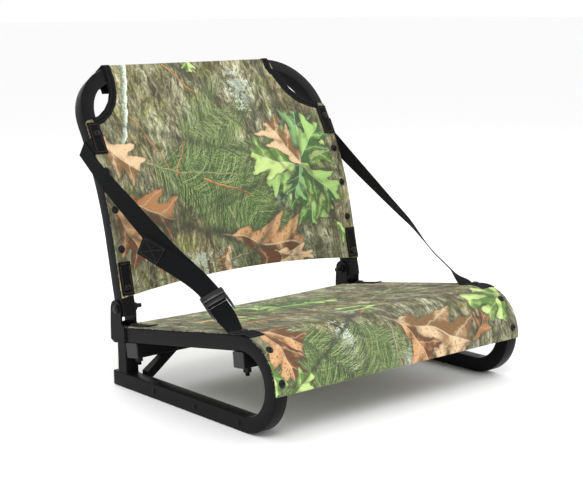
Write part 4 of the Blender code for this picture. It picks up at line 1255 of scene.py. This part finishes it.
def patches(look):
    """The short pieces of webbing under the back's outermost screws and the seat's rear corner bolts."""
    for side, name in SIDES:
        x = side * RAIL_X
        for level, middle in zip(("lower", "upper"), PATCH_S):
            stations = []
            for k in range(17):
                s = middle + PATCH_LONG * (k / 16 - 0.5)
                curl = 0.0007 * (abs(k / 8 - 1) ** 4)
                stations.append((back_point(x, s, PATCH_LIFT + curl), ACROSS, back_normal(s)))
            patch = ribbon(f"{name}_{level}_back_webbing", stations, look["webbing"], PATCH_WIDE)
            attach(patch, "backrest")
            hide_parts(f"{name}_{level}_back_patch")
            stitches = f"{name}_{level}_back_patch_stitches"
            patch_stitches(stitches, stations, PATCH_WIDE, look["tan_thread"], "backrest")
        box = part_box(f"{name}_seat_patch")
        stations = []
        for k in range(17):
            y = box[1].y - 0.0005 + (box[0].y - box[1].y + 0.001) * k / 16
            curl = 0.0016 * smooth(k, 11, 16)
            stations.append((rail_point(x, y, PATCH_LIFT + curl), ACROSS, RAIL_UP))
        patch = ribbon(f"{name}_seat_webbing", stations, look["webbing"], PATCH_WIDE)
        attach(patch, "root")
        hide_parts(f"{name}_seat_patch")
        patch_stitches(f"{name}_seat_patch_stitches", stations, PATCH_WIDE, look["tan_thread"], "root")


PIVOT_Y = HINGE.y - 0.308
PIVOT_LIFT = 0.0042
STRAP_X = HALF + 0.0032
BUCKLE_AT = 0.056
BUCKLE_LONG = 0.040
BUCKLE_WIDE = 0.040
BUCKLE_SLOT = 0.0032
BUCKLE_TWIST = math.radians(33)
SHIFT_LONG = 0.190
TWIST_LONG = 0.420
LOOP_S = 0.2785
ANCHOR_LONG = 0.046
TAIL_LONG = 0.181
FOLD_LONG = 0.056
# Each strap's middle line from its pivot to its loop: (from the hinge, up)
STRAP_LINES = {
    "left": (
        (-0.2615, 0.1870), (-0.214, 0.2200), (-0.163, 0.2515), (-0.103, 0.2835),
        (-0.048, 0.3145), (0.030, 0.3590), (0.092, 0.4030),
    ),
    "right": (
        (-0.2615, 0.1775), (-0.210, 0.2075), (-0.159, 0.2377), (-0.1075, 0.2696),
        (-0.057, 0.3022), (-0.004, 0.3365), (0.044, 0.3685), (0.092, 0.4020),
    ),
}  # fmt: skip


def catmull(points, steps):
    """A smooth curve through points."""
    points = [Vector(p) for p in points]
    ends = [points[0] * 2 - points[1], *points, points[-1] * 2 - points[-2]]
    curve = []
    for a, b, c, d in zip(ends, ends[1:], ends[2:], ends[3:]):
        for k in range(steps):
            t = k / steps
            square, cube = a * 2 - b * 5 + c * 4 - d, b * 3 - a - c * 3 + d
            curve.append(0.5 * (b * 2 + (c - a) * t + square * t**2 + cube * t**3))
    return [*curve, points[-1]]


def strap_stations(side, name):
    """(centre, width direction, normal, distance) along a strap, from the anchor to the loop."""
    start = rail_point(0, PIVOT_Y, TUBE / 2 + PIVOT_LIFT)
    line = [(0, start.y, start.z)] + [(0, HINGE.y + y, z) for y, z in STRAP_LINES[name]]
    curve = catmull(line, 16)
    stations, distance = [], 0.0
    across = Vector((side, 0, 0))
    for k, point in enumerate(curve):
        ahead = (curve[min(k + 1, len(curve) - 1)] - curve[max(k - 1, 0)]).normalized()
        if k:
            distance += (point - curve[k - 1]).length
        first = smooth(distance, 0, BUCKLE_AT - BUCKLE_LONG / 2)
        past_buckle = BUCKLE_AT + BUCKLE_LONG / 2
        second = min(max((distance - past_buckle) / (TWIST_LONG - past_buckle), 0), 1)
        twist = BUCKLE_TWIST * first + (math.pi / 2 - BUCKLE_TWIST) * second
        up = Vector((0, -ahead.z, ahead.y))
        width = across * math.cos(twist) - up * math.sin(twist)
        normal = up * math.cos(twist) + across * math.sin(twist)
        shift = side * (RAIL_X + (STRAP_X - RAIL_X) * smooth(distance, past_buckle, SHIFT_LONG))
        stations.append((Vector((shift, point.y, point.z)), width, normal, distance))
    return stations


def part_of(stations, low, high):
    """(centre, width, normal) of the stations between two distances, with one exactly at each end."""

    def at(distance):
        k = next(k for k in range(1, len(stations)) if stations[k][3] >= distance)
        one, two = stations[k - 1], stations[k]
        share = (distance - one[3]) / (two[3] - one[3])
        return tuple(one[i].lerp(two[i], share) for i in range(3))

    return [at(low), *[s[:3] for s in stations if low < s[3] < high], at(high)]


def straps(look):
    """Both straps: flat at the anchor, twisted up beside the upright, and sewn to the loop behind it."""
    for side, name in SIDES:
        stations = strap_stations(side, name)
        buckled = name == "left"
        foot_end = BUCKLE_AT - BUCKLE_SLOT if buckled else BUCKLE_AT
        lower = part_of(stations, 0, foot_end)
        upper = part_of(stations, BUCKLE_AT, stations[-1][3])
        begin, end = stations[0][0], upper[-1][0]
        out = (begin - stations[1][0]).normalized()
        lower.insert(0, (begin + out * 0.002, *lower[0][1:]))
        low = ribbon(f"{name}_strap_foot", lower, look["webbing"])
        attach(low, f"{name}_strap")
        long = ribbon(f"{name}_strap_webbing", upper, look["webbing"])
        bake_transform(long)
        if buckled:
            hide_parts("left_lower_strap")
            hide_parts("left_upper_strap")
            slider(*upper[0], look)
            for piece in strap_tail(stations, look):
                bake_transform(piece)
        else:
            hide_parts("right_strap")


def slider(centre, width, normal, look):
    """A moulded ladder-lock: a broad rounded bar, a flat plate, and two rails down to pointed ends."""
    along = width.cross(normal)
    if along.y < 0:
        along = -along
    base = WEB_THICK / 2 + GAP
    half_long, half_wide, rail = BUCKLE_LONG / 2, BUCKLE_WIDE / 2, 0.0038

    def spot(a, b, h):
        return centre + along * a + width * b + normal * (base + h)

    def bar(name, a0, a1, thick, lift=0.0, edge=0.0009):
        outline = rounded_square(a1 - a0, thick, edge)
        rings = []
        for share, shrink in ((0, 0.5), (0.015, 0.85), (0.04, 1), (0.96, 1), (0.985, 0.85), (1, 0.5)):
            b = half_wide * (2 * share - 1)
            middle = spot((a0 + a1) / 2, b, lift + thick / 2)
            rings.append([middle + along * p * shrink + normal * q * shrink for p, q in outline])
        return swept(name, rings, look["buckle"])

    pieces = [
        bar("bar_high", half_long - 0.0130, half_long, 0.0066, 0.0, 0.0031),
        bar("plate", 0.0002, half_long - 0.0110, 0.0030, 0.0004),
    ]
    for b in (-half_wide + rail / 2, half_wide - rail / 2):
        rings = []
        tip = 0.006
        for share in (0, 0.02, 0.06, 0.15, 0.3, 0.6, 0.97, 1):
            point = min(1.0, 0.25 + share * 4) if share < 0.97 else 0.8
            outline = rounded_square(rail * point, 0.0044 * point, 0.0009 * point)
            middle = spot(-half_long + 2 * half_long * share - tip * (1 - share), b, 0.0024)
            rings.append([middle + width * p + normal * q for p, q in outline])
        pieces.append(swept("rail", rings, look["buckle"]))
    whole = joined("strap_slider", pieces, "left_strap")
    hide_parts("strap_buckle")


def strap_tail(stations, look):
    """The free end past the buckle: it lies on the strap, slides off it and ends in a sewn fold."""
    low, high = BUCKLE_AT - 0.004, BUCKLE_AT + TAIL_LONG
    centres, faces = [], []
    for centre, width, normal, distance in stations:
        if not low <= distance <= high:
            continue
        share = max(distance - BUCKLE_AT - BUCKLE_LONG / 2, 0) / (high - BUCKLE_AT - BUCKLE_LONG / 2)
        turn = math.radians(14) * share
        down = width * math.cos(turn) - normal * math.sin(turn)
        lift = WEB_THICK + 0.0007 + 0.0062 * share**1.5
        centres.append(centre + down * 0.0255 * share**1.6 + normal * lift)
        faces.append(down)
    tail = []
    for k, (centre, down) in enumerate(zip(centres, faces)):
        ahead = (centres[min(k + 1, len(centres) - 1)] - centres[max(k - 1, 0)]).normalized()
        down = (down - ahead * down.dot(ahead)).normalized()
        normal = down.cross(ahead)
        tail.append((centre, down, normal if normal.x < 0 else -normal))
    piece = ribbon("left_strap_tail", tail, look["webbing"])
    fold_layer = WEB_THICK + 0.0001
    end = [s for s in tail if (s[0] - tail[-1][0]).length < FOLD_LONG]
    fold = ribbon("left_strap_tail_fold", [(c + n * fold_layer, w, n) for c, w, n in end], look["webbing"])
    span = [s for s in end if 0.004 < (s[0] - tail[-1][0]).length < FOLD_LONG - 0.003]
    above = WEB_THICK * 1.5 + 0.0001
    half = STRAP_WIDE / 2 - STITCH_INSET

    def on_fold(station, a):
        c, w, n = station
        return c + w * a + n * above, n

    rows = [[on_fold(station, a) for station in span] for a in (-half, half)]
    for flip in (1, -1):
        rows.append([on_fold(s, half * flip * (2 * k / (len(span) - 1) - 1)) for k, s in enumerate(span)])
    for station in (span[0], span[-1]):
        rows.append([on_fold(station, half * t) for t in (-1, -0.33, 0.33, 1)])
    pieces = [stitch_row(f"tail_{k}", row, look["black_thread"], None) for k, row in enumerate(rows)]
    return piece, fold, joined("left_tail_stitches", pieces, None)


def loops(look):
    """The sewn loop round each upright, bulging behind it, which the strap is stitched to."""
    for side, name in SIDES:
        x = side * RAIL_X
        near = TUBE / 2 + GAP + WEB_THICK / 2
        profile = [(near, TUBE / 2 + 0.0030), (near, 0.004), (near, -0.006)]
        for k in range(1, 8):
            angle = math.pi / 2 * k / 7
            profile.append((near - 0.007 * (1 - math.cos(angle)), -0.006 - 0.011 * math.sin(angle)))
        profile += [(0.0, -near - 0.0036), (-0.006, -near - 0.0030)]
        for k in range(1, 8):
            angle = math.pi / 2 * k / 7
            across, behind = 0.007 * (1 - math.sin(angle)), 0.012 * (1 - math.cos(angle))
            profile.append((-near + across, -near - 0.0030 + behind))
        profile += [(-near, 0.002), (-near, TUBE / 2 - 0.002)]
        points = [(side * a, b) for a, b in profile]
        stations = []
        for k, (a, b) in enumerate(points):
            one, two = points[max(k - 1, 0)], points[min(k + 1, len(points) - 1)]
            along = Vector((two[0] - one[0], two[1] - one[1])).normalized()
            centre = back_point(x + a, LOOP_S, b)
            tangent = Vector((along.x, 0, 0)) + back_normal(LOOP_S) * along.y
            width = back_along(LOOP_S)
            stations.append((centre, width, tangent.cross(width).normalized()))
        loop = ribbon(f"{name}_loop_webbing", stations, look["webbing"])
        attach(loop, "backrest")
        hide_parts(f"{name}_strap_loop")


def anchors(look):
    """The strap's folded end on the rail and a little way round the bend, in two layers."""
    for side, name in SIDES:
        x = side * RAIL_X
        tangent = bend_point(x, -SLOPE, BEND_RADIUS)
        rear = PIVOT_Y - 0.002
        stations = []
        for k in range(9):
            y = rear + (tangent.y - rear) * k / 8
            stations.append((rail_point(x, y, PATCH_LIFT), ACROSS, RAIL_UP))
        left_over = ANCHOR_LONG - (rear - tangent.y)
        for k in range(1, 9):
            angle = -SLOPE + left_over / BEND_RADIUS * k / 8
            stations.append((bend_point(x, angle, BEND_RADIUS + PATCH_LIFT), ACROSS, bend_normal(angle)))
        anchor = ribbon(f"{name}_anchor_webbing", stations, look["webbing"])
        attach(anchor, "root")
        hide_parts(f"{name}_strap_anchor")
        patch_stitches(f"{name}_anchor_stitches", stations, STRAP_WIDE, look["black_thread"], "root")


# Fasteners


def dome(waist, reach, low, high):
    """The rings of a rounded head, from its flange up to the flat round its socket."""
    angles = [math.pi / 2 * k / 8 for k in range(1, 8)]
    return [(waist + reach * math.cos(t), low + high * math.sin(t)) for t in angles]


def button_screw(name, place, look, body, replaced):
    """A button-head screw with a hex socket and a thin flange."""
    radius, high, flange = 0.0066, 0.0036, 0.0005
    rings = [(0.0019, -0.004), (0.0019, 0.0), (radius, 0.0), (radius, flange)]
    rings += dome(0.0026, radius - 0.0031, flange, high - flange)
    rings += [(0.0024, high), (0.0021, high - 0.0003, "hex"), (0.0021, high - 0.0018, "hex")]
    rings.append((0.0004, high - 0.0022))
    screw = lathe(name, rings, place, look["oxide"], 36)
    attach(screw, body)
    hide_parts(replaced)


def middle_and_top(node, up):
    """The middle of a CAD node's points, and how far up they reach."""
    obj = frame["nodes"][node]
    points = [obj.matrix_world @ v.co for v in obj.data.vertices]
    return sum(points, Vector()) / len(points), max(p.dot(up) for p in points)


def screws(look):
    """Button screws on the backrest and the front bends, flush screws on the rails, and rivets."""
    cloth_top = TUBE / 2 + 2 * GAP + CLOTH
    for side, name in SIDES:
        x = side * RAIL_X
        for k, s in enumerate(BACK_SCREW_S):
            forward = cloth_top
            if any(abs(s - middle) < PATCH_LONG / 2 for middle in PATCH_S):
                forward += WEB_THICK + GAP
            place = place_at(back_point(x, s, forward), back_normal(s))
            node = f"{name}_back_screw_{k + 1}"
            button_screw(f"{name}_back_button_{k + 1}", place, look, "backrest", node)
        for level, angle in zip(("upper", "lower"), BEND_SCREW_ANGLES):
            place = place_at(bend_point(x, angle, BEND_RADIUS + cloth_top), bend_normal(angle))
            button_screw(f"{name}_{level}_seat_button", place, look, "root", f"{name}_{level}_seat_screw")
        for k, y in enumerate(RAIL_SCREW_Y):
            point = rail_point(x, y, TUBE / 2 + GAP + CLOTH)
            rings = [(0.0058, -0.0006), (0.0062, 0.0), (0.0056, 0.0007), (0.0035, 0.0012), (0.0019, 0.0013)]
            rings += [(0.0017, 0.0008, "hex"), (0.0015, 0.0001, "hex")]
            flush = lathe(f"{name}_rail_screw_{k + 1}", rings, place_at(point, RAIL_UP), look["oxide"], 36)
            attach(flush, "root")
        for k, back in enumerate((0.100, 0.2135, 0.327)):
            point = Vector((side * HALF, HINGE.y - back, TUBE / 2))
            place = place_at(point, (side, 0, 0))
            rings = [(0.0048, -0.0004), (0.0048, 0.0003), (0.0040, 0.0011), (0.0022, 0.0015), (0.0004, 0.0016)]
            rivet = lathe(f"{name}_rail_rivet_{k + 1}", rings, place, look["powder"], 28)
            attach(rivet, "root")


def corner_bolts(look):
    """Low button bolts through patch or anchor, cloth, rail and crossbar, each on a washer."""
    for _, name in SIDES:
        for corner, tilt in (("rear", SLOPE), ("front", FRONT_BAR_TILT)):
            node = f"{name}_{corner}_corner_bolt"
            up = Vector((0, math.sin(tilt), math.cos(tilt)))
            centre, top = middle_and_top(node, up)
            base = centre + up * (top - BOLT_HEAD_HIGH - centre.dot(up))
            place = place_at(base, up)
            drop = (base.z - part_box(node)[0].z) / up.z - 0.0006
            rings = [(0.0028, -drop - 0.0004)]
            rings += [(0.0037 if k % 2 else 0.0032, -drop + 0.0006 * k) for k in range(12)]
            rings += [(0.0036, -0.0002), (0.0078, 0.0), (0.0078, 0.0006)]
            rings += dome(0.0032, 0.0041, 0.0006, 0.0030)
            rings += [(0.0030, BOLT_HEAD_HIGH), (0.0026, 0.0032, "hex"), (0.0026, 0.0012, "hex")]
            rings.append((0.0005, 0.0006))
            bolt = lathe(f"{name}_{corner}_button_bolt", rings, place, look["oxide"], 36)
            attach(bolt, "root")
            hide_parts(node)


# Floor, light and camera


def stage():
    """A white floor under even white light, with three soft lamps."""
    bpy.ops.mesh.primitive_plane_add(size=80, location=(0, 0, -0.0006))
    floor = bpy.context.object
    floor.name = "floor"
    made, graph, shader = new_material("floor_white")
    graph.dress(shader, {"Base Color": (0.96, 0.96, 0.96), "Roughness": 0.9})
    floor.data.materials.append(made)
    world = bpy.data.worlds.new("studio")
    bpy.context.scene.world = world
    world.use_nodes = True
    background = world.node_tree.nodes["Background"]
    background.inputs["Color"].default_value = (1, 1, 1, 1)
    background.inputs["Strength"].default_value = 1.0
    for name, place, size, power in (
        ("key", (-1.6, -1.8, 2.6), 1.8, 42),
        ("fill", (2.2, -0.6, 1.8), 2.0, 16),
        ("rim", (0.4, 2.4, 2.0), 1.6, 18),
    ):
        light = bpy.data.lights.new(name, "AREA")
        light.shape = "DISK"
        light.size = size
        light.energy = power
        lamp = bpy.data.objects.new(name, light)
        lamp.location = place
        lamp.rotation_euler = (Vector((0, 0, 0.2)) - Vector(place)).to_track_quat("-Z", "Y").to_euler()
        bpy.context.scene.collection.objects.link(lamp)


def camera():
    """The view of the seat from its front left."""
    bpy.context.scene.view_settings.view_transform = "Standard"
    turn, rise, roll = math.radians(-40.448), math.radians(10.017), math.radians(-0.436)
    back = Vector((math.sin(turn) * math.cos(rise), -math.cos(turn) * math.cos(rise), math.sin(rise)))
    right = Vector((math.cos(turn), math.sin(turn), 0))
    up = back.cross(right)
    level_right = right * math.cos(roll) + up * math.sin(roll)
    level_up = up * math.cos(roll) - right * math.sin(roll)
    data = bpy.data.cameras.new("view")
    data.lens = 83.26
    data.sensor_width = 36
    eye = bpy.data.objects.new("view", data)
    axes = Matrix((level_right, level_up, back)).transposed().to_4x4()
    eye.matrix_world = Matrix.Translation((-1.50036, -1.76714, 0.64807)) @ axes
    bpy.context.scene.collection.objects.link(eye)
    bpy.context.scene.camera = eye


def dress_nodes(look):
    """A material for each CAD node that stays in view."""
    for name, obj in frame["nodes"].items():
        finish = look["powder"]
        if "plug" in name or "cap" in name:
            finish = look["plug"]
        elif "bolt" in name or "nut" in name or "screw" in name:
            finish = look["oxide"]
        elif "strap" in name or "patch" in name:
            finish = look["webbing"]
        obj.data.materials.clear()
        obj.data.materials.append(finish)


look = all_materials()
dress_nodes(look)
camera()
stage()
for side, name in SIDES:
    side_frame(side, name, look["powder"])
backrest_frame(look["powder"])
back_sling(look["back_cloth"])
seat_sling(look["seat_cloth"])
back_details(look)
seat_details(look)
patches(look)
straps(look)
loops(look)
anchors(look)
screws(look)
corner_bolts(look)
weld_beads(look)
